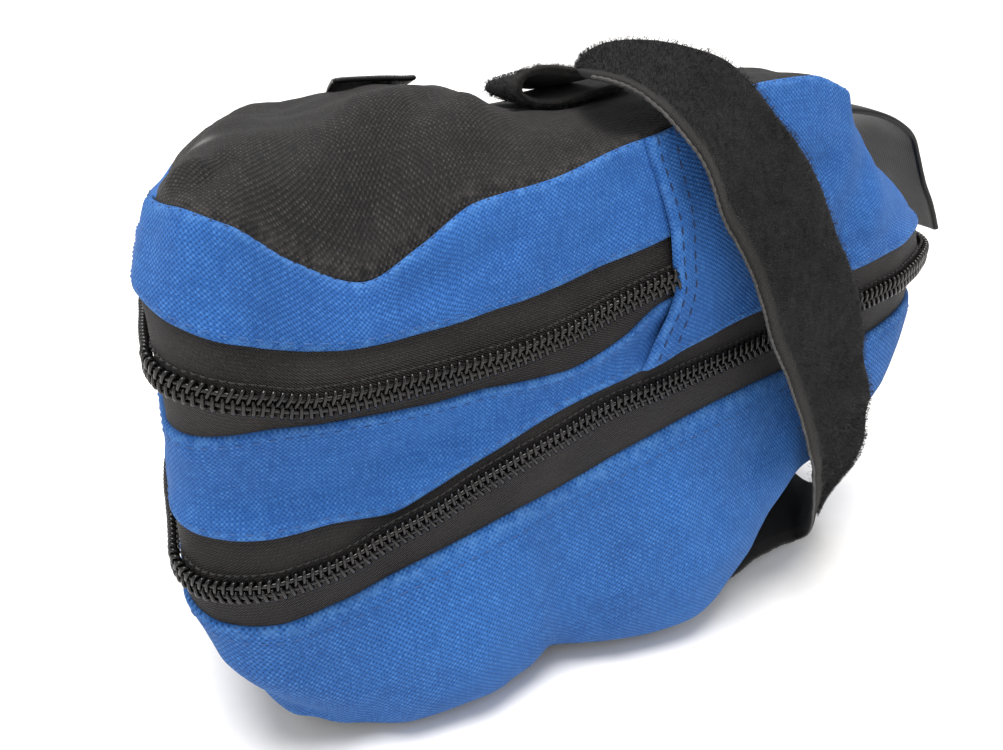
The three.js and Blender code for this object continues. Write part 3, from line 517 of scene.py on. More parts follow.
def cloth(name, deep, mid, pale, period, dots, depth, sheen, rough, dust, worn, turn=0.0):
    """Plain woven cloth: round crossings in staggered rows, uneven yarns,
    soft variation of colour, dust in the weave and pale worn edges."""
    g = Graph(name)
    if turn:
        uv = g.node("ShaderNodeVectorRotate", {"Vector": g.uv, "Angle": turn}, rotation_type="Z_AXIS").outputs[0]
    else:
        uv = g.uv
    warp_off = g.math("MULTIPLY", g.math("SUBTRACT", g.noise(g.stretch(uv, 0.09, 0.09), 1.0, 2.0), 0.5), 1.6)
    u, v = g.axes(uv)
    u, v = g.math("ADD", u, warp_off), g.math("ADD", v, warp_off)
    k = 2 * math.pi / period
    su, sv = g.math("SINE", g.math("MULTIPLY", u, k)), g.math("SINE", g.math("MULTIPLY", v, k))
    cross = g.math("MULTIPLY", su, sv)
    holes = g.span(cross, 0.25, 0.95)
    yarn_u = g.noise(g.stretch(uv, 0.22, 2.2), 1.0, 2.0)
    yarn_v = g.noise(g.stretch(uv, 2.2, 0.22), 1.0, 2.0)
    yarns = g.math("MULTIPLY", g.math("ADD", yarn_u, yarn_v), 0.5)
    patch = g.noise(g.place, 34.0, 4.0, 0.6)
    tone = g.math("ADD", g.math("MULTIPLY", g.span(patch, 0.3, 0.7), 0.5), g.math("MULTIPLY", g.span(yarns, 0.36, 0.64), 0.5))
    colour = g.mix(tone, deep, mid)
    light = g.math("MULTIPLY", g.span(cross, 0.0, -1.0), g.span(yarns, 0.42, 0.66))
    colour = g.mix(g.math("MULTIPLY", light, 0.55), colour, pale)
    colour = g.mix(g.math("MULTIPLY", holes, dots), colour, tuple(c * 0.16 for c in deep))
    specks = g.span(g.noise(g.stretch(uv, 1.7, 1.7), 1.0, 5.0, 0.75), 0.62, 0.8)
    colour = g.mix(g.math("MULTIPLY", specks, dust), colour, (0.34, 0.33, 0.33))
    edge = g.math("MULTIPLY", g.value("wear"), g.span(g.noise(g.place, 420.0, 3.0, 0.7), 0.4, 0.62))
    colour = g.mix(g.math("MULTIPLY", edge, worn), colour, pale)
    colour = g.mix(g.value("stain"), colour, (0.20, 0.19, 0.19))
    bumps = g.math("ADD", g.math("MULTIPLY", cross, -0.5), g.math("MULTIPLY", yarns, 0.9))
    bumps = g.math("ADD", bumps, g.math("MULTIPLY", g.noise(g.stretch(uv, 5.0, 5.0), 1.0, 2.0), 0.5))
    g.set(spec=0.28, sheen=sheen, sheen_rough=0.45)
    g.shader.inputs["Sheen Tint"].default_value = (*[min(1.0, c * 1.4 + 0.25) for c in pale], 1.0)
    return g.finish(colour, bumps, depth, 0.9, g.span(patch, 0.2, 0.8, rough - 0.05, rough + 0.06))


def twill(name, deep, pale, pitch, depth, sheen, rough, lint):
    """Narrow woven tape: fine diagonal ribs and a little lint."""
    g = Graph(name)
    u, v = g.axes(g.uv)
    ribs = g.math("SINE", g.math("MULTIPLY", g.math("ADD", u, g.math("MULTIPLY", v, 1.6)), 2 * math.pi / pitch))
    ends = g.math("SINE", g.math("MULTIPLY", v, 2 * math.pi / (pitch * 0.9)))
    weave = g.math("ADD", g.math("MULTIPLY", ribs, 0.6), g.math("MULTIPLY", ends, 0.3))
    patch = g.noise(g.place, 60.0, 4.0, 0.6)
    fine = g.noise(g.stretch(g.uv, 3.0, 1.2), 1.0, 4.0, 0.7)
    colour = g.mix(g.math("MULTIPLY", g.span(weave, -0.4, 0.9), g.span(fine, 0.35, 0.7)), deep, pale)
    colour = g.mix(g.math("MULTIPLY", g.span(patch, 0.35, 0.75), 0.3), colour, pale)
    colour = g.mix(g.math("MULTIPLY", g.span(g.noise(g.stretch(g.uv, 1.1, 1.1), 1.0, 6.0, 0.8), 0.66, 0.8), lint), colour, (0.22, 0.21, 0.21))
    g.set(spec=0.3, sheen=sheen, sheen_rough=0.4)
    g.shader.inputs["Sheen Tint"].default_value = (0.6, 0.58, 0.6, 1.0)
    return g.finish(colour, g.math("ADD", weave, g.math("MULTIPLY", fine, 0.8)), depth, 0.8, g.span(patch, 0.2, 0.8, rough - 0.06, rough + 0.06))


def thread(name, deep, pale, rough, sheen=0.2, spec=0.4, scale=900.0, depth=0.00004, tone=None):
    """Nylon thread, wire or fibre, with the tone of each one where given; on the zip coil that tone also carries
    painted sheen towards the nose.
    """
    g = Graph(name)
    fine = g.noise(g.place, scale, 3.0, 0.6)
    broad = g.noise(g.place, 55.0, 3.0, 0.6)
    fac = g.math("ADD", g.math("MULTIPLY", g.span(fine, 0.3, 0.7), 0.5), g.math("MULTIPLY", g.span(broad, 0.35, 0.7), 0.35))
    if tone:
        fac = g.math("ADD", g.math("MULTIPLY", fac, 0.35), g.math("MULTIPLY", g.value(tone), 0.85), True)
    colour = g.mix(fac, deep, pale)
    g.set(spec=spec, sheen=sheen, sheen_rough=0.4)
    return g.finish(colour, fine, depth, 0.6, g.span(broad, 0.3, 0.7, rough - 0.05, rough + 0.08))


def pile_cloth(name):
    """Backing of the pile strap: matted loops, smoother brownish selvedge."""
    g = Graph(name)
    u, v = g.axes(g.uv)
    mat = g.noise(g.stretch(g.uv, 1.3, 1.3), 1.0, 6.0, 0.8)
    fine = g.noise(g.stretch(g.uv, 4.0, 4.0), 1.0, 4.0, 0.8)
    colour = g.mix(g.span(mat, 0.35, 0.72), (0.0014, 0.0014, 0.0016), (0.0085, 0.0085, 0.009))
    colour = g.mix(g.math("MULTIPLY", g.span(fine, 0.58, 0.72), 0.5), colour, (0.03, 0.03, 0.031))
    band = g.span(g.math("ADD", v, g.math("MULTIPLY", g.noise(g.stretch(g.uv, 0.5, 0.5), 1.0), 0.8)), 3.6, 2.9)
    smooth = g.mix(g.span(g.noise(g.stretch(g.uv, 0.7, 3.5), 1.0, 4.0, 0.7), 0.3, 0.7), (0.0075, 0.0068, 0.0064), (0.021, 0.0185, 0.017))
    colour = g.mix(band, colour, smooth)
    g.set(spec=0.15, sheen=0.10, sheen_rough=0.5)
    return g.finish(colour, g.math("ADD", mat, g.math("MULTIPLY", fine, 0.6)), 0.00045, 0.9, g.span(mat, 0.2, 0.8, 0.86, 0.98))


def metal(name):
    g = Graph(name)
    wear = g.span(g.noise(g.place, 300.0, 5.0, 0.7), 0.45, 0.65)
    colour = g.mix(wear, (0.035, 0.035, 0.037), (0.075, 0.073, 0.072))
    g.set(metal=0.85, spec=0.5)
    return g.finish(colour, g.noise(g.place, 900.0, 4.0, 0.6), 0.00003, 0.5, g.span(wear, 0.0, 1.0, 0.33, 0.48))


def floor_paint(name):
    g = Graph(name)
    grain = g.noise(g.place, 160.0, 4.0, 0.6)
    colour = g.mix(g.span(grain, 0.2, 0.8), (0.90, 0.885, 0.87), (0.93, 0.915, 0.90))
    g.set(spec=0.25)
    return g.finish(colour, grain, 0.00004, 0.3, g.span(grain, 0.2, 0.8, 0.55, 0.65))


BLUE = cloth("blue_cloth", (0.012, 0.078, 0.28), (0.026, 0.135, 0.43), (0.13, 0.33, 0.68), 1.12, 0.74, 0.00024, 0.08, 0.82, 0.10, 0.28)
BLUE_FINE = cloth("blue_band_cloth", (0.013, 0.080, 0.29), (0.026, 0.130, 0.42), (0.12, 0.31, 0.65), 0.92, 0.60, 0.00020, 0.08, 0.84, 0.08, 0.28)
BLACK = cloth("black_cloth", (0.0036, 0.0033, 0.0033), (0.0110, 0.0098, 0.0096), (0.110, 0.096, 0.088), 0.90, 0.45, 0.00020, 0.14, 0.74, 0.45, 0.2)
TAPE = twill("tape_twill", (0.0036, 0.0033, 0.0033), (0.056, 0.048, 0.044), 0.80, 0.00015, 0.12, 0.72, 0.4)
# the coil's tone attribute also carries painted sheen towards the nose
COIL = thread("coil_nylon", (0.0012, 0.0012, 0.0013), (0.022, 0.019, 0.017), 0.20, 0.0, 0.42, 500.0, 0.00002, "tone")
BLACK_THREAD = thread("black_thread", (0.004, 0.004, 0.004), (0.03, 0.028, 0.027), 0.6)
NAVY_THREAD = thread("navy_thread", (0.003, 0.010, 0.04), (0.010, 0.032, 0.11), 0.65)
BLUE_THREAD = thread("blue_thread", (0.014, 0.065, 0.22), (0.04, 0.13, 0.36), 0.65)
PILE = thread("pile_fibre", (0.0008, 0.0008, 0.0010), (0.044, 0.042, 0.044), 0.8, 0.10, 0.2, 300.0, 0.00002, "tone")
PILE_BASE = pile_cloth("pile_backing")
SELVEDGE = thread("selvedge_thread", (0.030, 0.029, 0.028), (0.10, 0.096, 0.092), 0.75, 0.1)
WEBBING = twill("webbing_weave", (0.0018, 0.0018, 0.002), (0.007, 0.007, 0.0075), 0.9, 0.00006, 0.05, 0.40, 0.08)
METAL = metal("slider_metal")
FLOOR = floor_paint("floor_paint")


def give(ob, mat, replaces=(), ride=True):
    ob.data.materials.clear()
    ob.data.materials.append(mat)
    if ride:
        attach(ob, RIDE)
    if replaces:
        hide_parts(*replaces)
    return ob


SHEET = []


def measured(name, grid):
    """Area, mean length and longest width of a cloth's middle surface, mm."""
    a, b, c, d = grid[:-1, :-1], grid[:-1, 1:], grid[1:, 1:], grid[1:, :-1]
    area = 0.5 * (np.linalg.norm(np.cross(b - a, c - a), axis=-1).sum() + np.linalg.norm(np.cross(c - a, d - a), axis=-1).sum())
    rows = np.linalg.norm(np.diff(grid, axis=1), axis=2).sum(1)
    cols = np.linalg.norm(np.diff(grid, axis=0), axis=2).sum(0)
    SHEET.append((name, round(float(area), 0), round(float(rows.mean()), 1), round(float(rows.max()), 1), round(float(cols.mean()), 1), round(float(cols.max()), 1)))


# ---------------------------------------------------------------- walls
def edge_rows(reach):
    """Shares of the way across a panel, closer together near both edges."""
    e = [0, 0.14, 0.4, 0.8, 1.3, 1.9]
    if reach < 12:
        e = [0, 0.16, 0.45, 0.9]
    inner = np.linspace(e[-1], reach - e[-1], max(2, int(round((reach - 2 * e[-1]) / STEP)) + 1))
    return np.concatenate([e[:-1], inner, reach - np.array(e[:-1])[::-1]]) / reach


def roll(d, proud, radius=0.9):
    """Rounded turned edge: rises from below to proud within its radius."""
    t = np.clip(d / radius, 0, 1)
    return proud * np.sqrt(np.maximum(0, 1 - (1 - t) ** 2)) - 0.55 * (1 - t) ** 2


GRIDS = {}


def wall(name, seams, part, thick, bulge, edges, under=(0.0, 0.0), tuck=None):
    """A panel between its seams. edges are how proud its upper and lower
    edges stand, None for a flat tape edge; under is how far it runs below
    its neighbours at those edges; tuck is the same at the upright seam."""
    at, side = around(part)
    pts = [seam(s, at, side) for s in seams]
    reach = np.linalg.norm(pts[0] - pts[-1], axis=1)
    out = outward(seams[0], at, side)
    w = edge_rows(reach.mean())
    w = w * (1 + sum(under) / reach.mean()) - under[0] / reach.mean()
    W = w[:, None, None]
    if part != "all":
        z = pts[0][:, 2] * (1 - w[:, None]) + pts[-1][:, 2] * w[:, None]
        moved, sides = warp(at, side, z), np.broadcast_to(side, z.shape)
        pts = [seam(s, moved, sides) for s in seams]
    if len(pts) == 2:
        grid = pts[0] * (1 - W) + pts[1] * W
    else:
        m = 0.5
        grid = pts[0] * ((W - m) * (W - 1) / m) + pts[1] * (W * (W - 1) / (m * (m - 1))) + pts[2] * (W * (W - m) / (1 - m))
    grid = grid + bulge * np.sin(math.pi * np.clip(W, 0, 1)) * out
    n, _ = normals_of(grid, part == "all", (75, 0, 60))
    at2, side2 = np.broadcast_to(at, grid.shape[:2]), np.broadcast_to(side, grid.shape[:2])
    length = np.broadcast_to(reach, grid.shape[:2])
    d_up, d_low = np.clip(w, 0, 1)[:, None] * length, (1 - np.clip(w, 0, 1))[:, None] * length
    push = soft(grid, at2, side2)
    wear = np.zeros(grid.shape[:2])
    for d, proud in ((d_up, edges[0]), (d_low, edges[1])):
        if proud is not None:
            push = push + np.where(d < 6, roll(d, proud) - proud * np.clip((d - 2) / 4, 0, 1), 0.0)
            wear = np.maximum(wear, np.exp(-(((d - 0.7) / 0.9) ** 2)))
    if tuck is not None:
        dc = np.abs(np.broadcast_to(at, grid.shape[:2]) - X_SEAM)
        if tuck > 0:
            push = push + np.where(dc < 8, roll(dc, tuck, 1.3) - tuck * np.clip((dc - 3) / 5, 0, 1), 0.0)
            wear = np.maximum(wear, np.exp(-(((dc - 1.1) / 1.1) ** 2)))
        else:
            push = push + tuck * np.exp(-((np.maximum(dc - 1.0, 0) / 2.2) ** 2))
    if seams[0] in ("zipA", "zipB") or seams[-1] in ("zipA", "zipB"):
        push = push - 0.5
    measured(name, grid)
    skin = grid + n * push[..., None]
    n2, _ = normals_of(skin, part == "all", (75, 0, 60))
    stain = np.zeros(grid.shape[:2])
    if name == "lower_shell":
        stain = 0.5 * np.exp(-(((at2 - 72) / 3.0) ** 2) - ((skin[..., 2] - 15) / 1.2) ** 2) * (side2 < 0)
    GRIDS[name] = (skin, n2, at, side, w * reach.mean(), reach)
    return slab(name, skin, skin - n2 * thick, uv_of(grid, part == "all"), part == "all", {"wear": wear, "stain": stain})


C, T = THICK["cloth"], THICK["tape"]
FLAT = {}
upper_band = give(wall("upper_band_cloth", ["top", "bandLow"], "rear", C, 0.8, (0.35, 0.45), tuck=-0.4), BLUE_FINE, ["upper_band"])
upper_tape_a = give(wall("upper_tape_top_half", ["bandLow", "zipA"], "rear", T, 0, (None, None), (1.6, 0), tuck=-0.4), TAPE, ["upper_zip_tape_upper"])
upper_tape_b = give(wall("upper_tape_low_half", ["zipA", "midTop"], "rear", T, 0, (None, None), (0, 1.6), tuck=-0.4), TAPE, ["upper_zip_tape_lower"])
middle_band = give(wall("middle_band_cloth", ["midTop", "midLow"], "rear", C, -0.8, (0.45, 0.45), tuck=-0.4), BLUE_FINE, ["middle_band"])
front_panel = give(wall("front_side_cloth", ["top", "midLow"], "front", C, 2.2, (0.35, 0.45), tuck=0.7), BLUE_FINE, ["front_side_panel"])
lower_tape_a = give(wall("lower_tape_top_half", ["midLow", "zipB"], "all", T, 0, (None, None), (1.6, 0)), TAPE, ["lower_zip_tape_upper"])
lower_tape_b = give(wall("lower_tape_low_half", ["zipB", "lowTop"], "all", T, 0, (None, None), (0, 1.6)), TAPE, ["lower_zip_tape_lower"])
lower_shell = give(wall("lower_shell_cloth", ["lowTop", "belly", "base"], "all", C, 0, (0.45, 0.3)), BLUE, ["lower_shell"])


# ---------------------------------------------------------------- lids
def ease(v):
    v = np.clip(v, 0, 1)
    return v * v * (3 - 2 * v)


def top_height(z0, w, sx, near):
    crest, mid = ridge_z(sx), middle_z(sx)
    u = np.clip(w / RIDGE_AT, 0, 1)
    a = np.where(w < RIDGE_AT, z0 + (crest - z0) * np.sin(u * math.pi / 2) ** 1.05, crest + (mid - crest) * ease((w - RIDGE_AT) / (1 - RIDGE_AT)))
    b = z0 + (mid - z0) * np.sin(np.clip(w, 0, 1) * math.pi / 2) ** 0.9
    return a * near + b * (1 - near)


def base_height(z0, w, sx, near):
    keel = keel_z(sx)
    u = np.clip(1 - w / BASE_RIM, 0, 1)
    return keel + (z0 - keel) * u * u


def lid(name, seam_name, count, height, sign):
    at, side = around("all")
    p = seam(seam_name, at, side)
    sx = np.clip(outline(seam_name, at, -np.ones_like(at))[0], *SPINE[seam_name])
    w = np.concatenate([[0, 0.006, 0.018, 0.036], np.linspace(0.06, 1, count)])[:, None]
    at_side = ease((at + 40) / 30) * ease((190 - at) / 30)
    near = np.where(side < 0, 0.5 + 0.5 * at_side, 0.5 - 0.5 * at_side)
    x, y = p[:, 0] + (sx - p[:, 0]) * w, p[:, 1] * (1 - w)
    z = height(p[:, 2], w, sx, near)
    grid = np.stack([x, y, np.broadcast_to(z, x.shape)], -1)
    measured(name, grid)
    n, bad = normals_of(grid, True, (75, 0, 60))
    n[bad] = (0, 0, sign)
    n[-3:] = (0, 0, sign)
    reach = np.hypot(p[:, 0] - sx, p[:, 1])
    d = w * reach
    if seam_name == "top":
        push = 0.5 * noise(grid, 13, 11) + 0.25 * noise(grid, 5.5, 13) + 0.09 * noise(grid, 2.6, 17) + folds(TOP_FOLDS, grid[..., 0], grid[..., 1])
        push = push * ease(d / 7) - 0.75 * np.exp(-((d / 1.1) ** 2))
    else:
        push = (0.35 * noise(grid, 12, 19) - 0.2) * ease(d / 5) - 0.6 * np.exp(-((d / 1.0) ** 2))
    # both halves agree on the middle line
    push = push * (1 - ease((w - 0.94) / 0.06)) if seam_name == "top" else push
    skin = grid + n * push[..., None]
    skin[-1] = grid[-1]
    n2, bad = normals_of(skin, True, (75, 0, 60))
    n2[bad] = (0, 0, sign)
    n2[-3:] = (0, 0, sign)
    if seam_name == "base":
        skin[..., 2] = np.maximum(skin[..., 2], 0.06)
    GRIDS[name] = (skin, n2, at, side, d, reach)
    # plan lengths as texture lengths, so the weave runs straight along the bag
    uv = np.stack([grid[..., 0], grid[..., 1] * 1.12], -1)
    uv = np.concatenate([uv, uv[:, :1]], 1)
    stain = 0.75 * np.exp(-(((grid[..., 0] - 9.5) / 1.8) ** 2) - (((grid[..., 1] + 16) / 2.2) ** 2)) if seam_name == "top" else np.zeros(grid.shape[:2])
    wear = np.exp(-(((d - 1.2) / 1.2) ** 2))
    return slab(name, skin, skin - n2 * C, uv, True, {"wear": wear, "stain": stain}, lid=True, merge=True)


top_cloth = give(lid("top_cloth", "top", 34, top_height, 1), BLACK, ["top_panel"])
base_cloth = give(lid("base_cloth", "base", 26, base_height, -1), BLACK, ["base_panel"])


# ---------------------------------------------------------------- zips
def ring_line(seam_name, part, lift):
    """Line that lies on the displaced seam: points, outward, closed."""
    at, side = around(part, 0.8)
    n = outward(seam_name, at, side)
    if part != "all":
        at = warp(at, side, seam(seam_name, at, side)[:, 2])
    p = seam(seam_name, at, side)
    p = p + n * (soft(p, at, side) - 0.5 + lift)[:, None]
    return p, n, part == "all"


def coil(name, seam_name, part, trim):
    p, n, closed = ring_line(seam_name, part, 0.35 + 0.95)
    if closed:
        p, n = np.concatenate([p, p[:1]]), np.concatenate([n, n[:1]])
    s = np.concatenate([[0], np.cumsum(np.linalg.norm(np.diff(p, axis=0), axis=1))])
    span = s[-1] - 2 * trim
    turns = int(span / COIL_PITCH)
    per = 12
    made, tones = [], []
    for half, phase in ((1, 0.0), (-1, math.pi)):
        th = np.arange(turns * per + 1) * 2 * math.pi / per
        at = trim + span * th / (2 * math.pi * turns)
        c = np.stack([np.interp(at, s, p[:, i]) for i in range(3)], -1)
        o = unit(np.stack([np.interp(at, s, n[:, i]) for i in range(3)], -1))
        t = unit(np.gradient(c, axis=0))
        up = unit(np.cross(t, o))
        up = up * np.sign(up[:, 2:3])
        a = (th if closed else -th) + phase
        wide, deep = 1.18, 0.62
        # flattened turns: long level crossings, tight ends
        cx = np.sign(np.cos(a)) * np.abs(np.cos(a)) ** 0.8
        sx = np.sign(np.sin(a)) * np.abs(np.sin(a)) ** 0.7
        lean = 0.05 * COIL_PITCH * np.sin(2 * a) * half
        path = c + up * (half * 0.98 + half * -1 * wide * cx)[:, None] + o * (deep * sx)[:, None] + t * lean[:, None]
        radial = unit(up * (-half * cx)[:, None] + o * sx[:, None] * 1.2)
        # the heads of the turns are swollen where the two halves lock
        r = COIL_WIRE * (1.0 + 0.24 * np.clip(-cx, 0, 1) ** 2)
        v, f = tubes(path[None], radial[None], r[None], 6)
        made.append((v, f))
        # tone of each turn: random tone, plus painted sheen that lightens the turns towards the nose, from x 125
        # onwards
        tones.append(np.repeat(np.clip(0.15 + 0.25 * noise(path, 9, 31) + 0.6 * ease((path[:, 0] - 125) / 55), 0, 1), 6))
    # the cord that runs inside each half
    for half in (1, -1):
        at = np.linspace(trim, s[-1] - trim, int(span / 1.2))
        c = np.stack([np.interp(at, s, p[:, i]) for i in range(3)], -1)
        o = unit(np.stack([np.interp(at, s, n[:, i]) for i in range(3)], -1))
        up = unit(np.cross(unit(np.gradient(c, axis=0)), o))
        up = up * np.sign(up[:, 2:3])
        path = c + up * (half * 1.0)
        v, f = tubes(path[None], o[None], np.full((1, len(at)), 0.50), 6)
        made.append((v, f))
        tones.append(np.zeros(len(v)))
    v, f = join(made)
    return build(name, v, f, None, {"tone": np.concatenate(tones)})


upper_coil = give(coil("upper_coil_turns", "zipA", "rear", 0.8), COIL, ["upper_zip_coil"])
lower_coil = give(coil("lower_coil_turns", "zipB", "all", 0.0), COIL, ["lower_zip_coil"])


def tape_stitches(name, seam_name, part):
    p, n, closed = ring_line(seam_name, part, 0.1)
    if closed:
        p, n = np.concatenate([p, p[:1]]), np.concatenate([n, n[:1]])
    up = np.array([0, 0, 1.0])
    rows = [stitches(p + up * 2.75, n, 1.15, 0.42, 0.19, 0.16), stitches(p - up * 2.75, n, 1.15, 0.42, 0.19, 0.16)]
    return build(name, *join(rows))


upper_tape_thread = give(tape_stitches("upper_tape_thread", "zipA", "rear"), BLACK_THREAD)
lower_tape_thread = give(tape_stitches("lower_tape_thread", "zipB", "all"), BLACK_THREAD)


def rows_at(name, distance, from_low=False, trim=(0.0, 0.0)):
    """Line on a wall at a distance from its upper or lower edge."""
    skin, n, at, side, d, reach = GRIDS[name]
    mean = reach.mean()
    cols = np.arange(len(at))
    share = distance / reach if not from_low else 1 - distance / reach
    rows = np.interp(share * mean, d, np.arange(len(d)))
    keep = np.ones(len(at), bool)
    closed = name == "lower_shell_cloth"
    if not closed:
        dc = np.abs(at - X_SEAM)
        keep = dc > trim[0]
    line, nn = sample(skin, rows[keep], cols[keep]), sample(n, rows[keep], cols[keep])
    if closed:
        line, nn = np.concatenate([line, line[:1]]), np.concatenate([nn, nn[:1]])
    return line, nn


def upright(name, distance, lo, hi, far=False):
    """Line down a wall beside the upright seam."""
    skin, n, at, side, d, reach = GRIDS[name]
    sel = np.where(side > 0 if far else side < 0)[0]
    a = np.abs(at[sel] - X_SEAM)
    order = np.argsort(a)
    c = np.interp(distance, a[order], sel[order].astype(float))
    rows = np.linspace(lo, hi, 60) * (len(d) - 1)
    return sample(skin, rows, np.full(60, c)), sample(n, rows, np.full(60, c))


band_thread = give(build("band_thread", *join([
    stitches(*rows_at("upper_band_cloth", 1.7, True, (2,)), 1.9, 0.9, 0.14, 0.05),
    stitches(*rows_at("middle_band_cloth", 1.7, False, (2,)), 1.9, 0.9, 0.14, 0.05),
    stitches(*rows_at("middle_band_cloth", 1.7, True, (2,)), 1.9, 0.9, 0.14, 0.05),
    stitches(*rows_at("lower_shell_cloth", 2.6), 2.2, 0.9, 0.15, 0.05),
    stitches(*rows_at("front_side_cloth", 1.8, True, (1,)), 1.9, 0.9, 0.14, 0.05),
])), BLUE_THREAD)
upright_thread = give(build("upright_thread", *join([
    stitches(*upright("front_side_cloth", 2.3, 0.02, 0.98), 2.1, 0.9, 0.17, 0.08),
    stitches(*upright("front_side_cloth", 5.6, 0.02, 0.92), 2.1, 0.9, 0.17, 0.08),
    stitches(*upright("front_side_cloth", 2.3, 0.02, 0.98, True), 2.1, 0.9, 0.17, 0.08),
    stitches(*upright("front_side_cloth", 5.6, 0.02, 0.92, True), 2.1, 0.9, 0.17, 0.08),
])), NAVY_THREAD)
top_thread = give(build("top_edge_thread", *join([
    stitches(*rows_at("upper_band_cloth", 0.35, False, (1,)), 0.8, 1.7, 0.09, 0.03),
    stitches(*rows_at("front_side_cloth", 0.35, False, (1,)), 0.8, 1.7, 0.09, 0.03),
])), BLACK_THREAD)


# ---------------------------------------------------------------- straps
def catmull(points, count):
    """Centripetal curve through points at even parameters."""
    p = np.asarray(points, float)
    ext = np.concatenate([[2 * p[0] - p[1]], p, [2 * p[-1] - p[-2]]])
    u = np.linspace(0, len(p) - 1, count)
    i = np.minimum(u.astype(int), len(p) - 2)
    t = (u - i)[:, None]
    p0, p1, p2, p3 = ext[i], ext[i + 1], ext[i + 2], ext[i + 3]
    d = lambda a, b: (np.sum((a - b) ** 2, -1, keepdims=True)) ** 0.25
    d0, d1, d2 = d(p0, p1), d(p1, p2), d(p2, p3)
    t1 = ((p1 - p0) / d0 - (p2 - p0) / (d0 + d1) + (p2 - p1) / d1) * d1
    t2 = ((p2 - p1) / d1 - (p3 - p1) / (d1 + d2) + (p3 - p2) / d2) * d1
    return p1 + t1 * t + (-3 * p1 + 3 * p2 - 2 * t1 - t2) * t ** 2 + (2 * p1 - 2 * p2 + t1 + t2) * t ** 3


def strap(name, left, right, thick, count, across, crown=0.0, ragged=0.0, tip=0.0, seed=1, tip_end=0.0):
    """Flat strap from its two edges; tip rounds off its free end."""
    a, b = catmull(left, count), catmull(right, count)
    mid = 0.5 * (a + b)
    s = np.concatenate([[0], np.cumsum(np.linalg.norm(np.diff(mid, axis=0), axis=1))])
    # even spacing along the strap
    even = np.linspace(0, s[-1], count)
    if tip:
        even = np.concatenate([tip * (1 - np.cos(np.linspace(0, math.pi / 2, 12)[:-1])), np.linspace(tip, s[-1], count - 11)])
    a, b = (np.stack([np.interp(even, s, e[:, i]) for i in range(3)], -1) for e in (a, b))
    s, mid = even, 0.5 * (a + b)
    if tip:
        f = np.where(s < tip, np.sqrt(np.maximum(0.02, 1 - (1 - s / tip) ** 2)), 1.0)[:, None]
        a, b = mid + (a - mid) * f, mid + (b - mid) * f
    if tip_end:
        f = np.where(s[-1] - s < tip_end, np.sqrt(np.maximum(0.02, 1 - (1 - (s[-1] - s) / tip_end) ** 2)), 1.0)[:, None]
        a, b = mid + (a - mid) * f, mid + (b - mid) * f
    if ragged:
        q = np.stack([s, np.zeros_like(s), np.zeros_like(s)], -1)
        x = unit(b - a)
        a = a - x * (ragged * (0.6 * noise(q, 5.0, seed) + 0.4 * noise(q, 1.8, seed + 1)))[:, None]
        b = b + x * (ragged * (0.6 * noise(q, 5.5, seed + 2) + 0.4 * noise(q, 1.9, seed + 3)))[:, None]
    k = np.linspace(0, 1, across)
    k = 0.5 - 0.5 * np.cos(np.pi * k) * (0.35 + 0.65 * np.abs(np.cos(np.pi * k)) ** 0.2) if across > 8 else k
    k = (k - k[0]) / (k[-1] - k[0])
    K = k[:, None, None]
    grid = a[None] * (1 - K) + b[None] * K
    along = unit(np.gradient(mid, axis=0))
    n = unit(np.cross(unit(b - a), along))
    wide = np.linalg.norm(b - a, axis=1)
    x = k[:, None] * wide[None]
    edge = np.minimum(x, wide[None] - x)
    swell = crown * (1 - (2 * k[:, None] - 1) ** 2) + 0.0 * x
    if ragged:
        swell = swell + 0.3 * noise(grid, 9, seed + 7) * ease(edge / 3)
    h = 0.5 * thick * np.sqrt(np.clip(1 - (1 - np.clip(edge / (0.55 * thick), 0, 1)) ** 2, 0.06, 1))
    if tip:
        h = h * np.sqrt(np.clip(s / 1.2, 0.1, 1))[None]
    measured(name, grid)
    skin, lining = grid + n * (h + swell)[..., None], grid + n * (swell - h)[..., None]
    uv = np.stack([np.broadcast_to(s, x.shape), x], -1)
    return skin, lining, np.broadcast_to(n, skin.shape), uv, s, wide


def fibre_set(roots, normal, flow, count_seg, length, radius, spread, tone_of):
    """Curled pile fibres, each a closed thread that bends over."""
    m = len(roots)
    side = unit(np.cross(normal, flow))
    ang = RNG.uniform(0, 2 * math.pi, m)[:, None]
    d = np.cos(ang) * flow + np.sin(ang) * side
    e = -np.sin(ang) * flow + np.cos(ang) * side
    h = (length * RNG.uniform(0.55, 1.15, m))[:, None]
    w = (spread * RNG.uniform(0.4, 1.2, m))[:, None]
    tw = (RNG.uniform(-1, 1, m) * 0.5)[:, None]
    t = np.linspace(0, 1, count_seg + 1)
    path = []
    for v in t:
        rise = math.sin(v * math.pi * 0.78) if v < 1 else math.sin(math.pi * 0.78)
        path.append(roots - normal * 0.15 + normal * h * rise + d * w * (v ** 1.4) + e * w * tw * math.sin(v * math.pi))
    path = np.stack(path, 1)
    r = radius * np.linspace(1.0, 0.55, count_seg + 1)[None] * RNG.uniform(0.8, 1.2, m)[:, None]
    up = np.broadcast_to(e[:, None], path.shape)
    v, f = tubes(path, up, r, 3)
    return v, f, np.repeat(tone_of, (count_seg + 1) * 3)


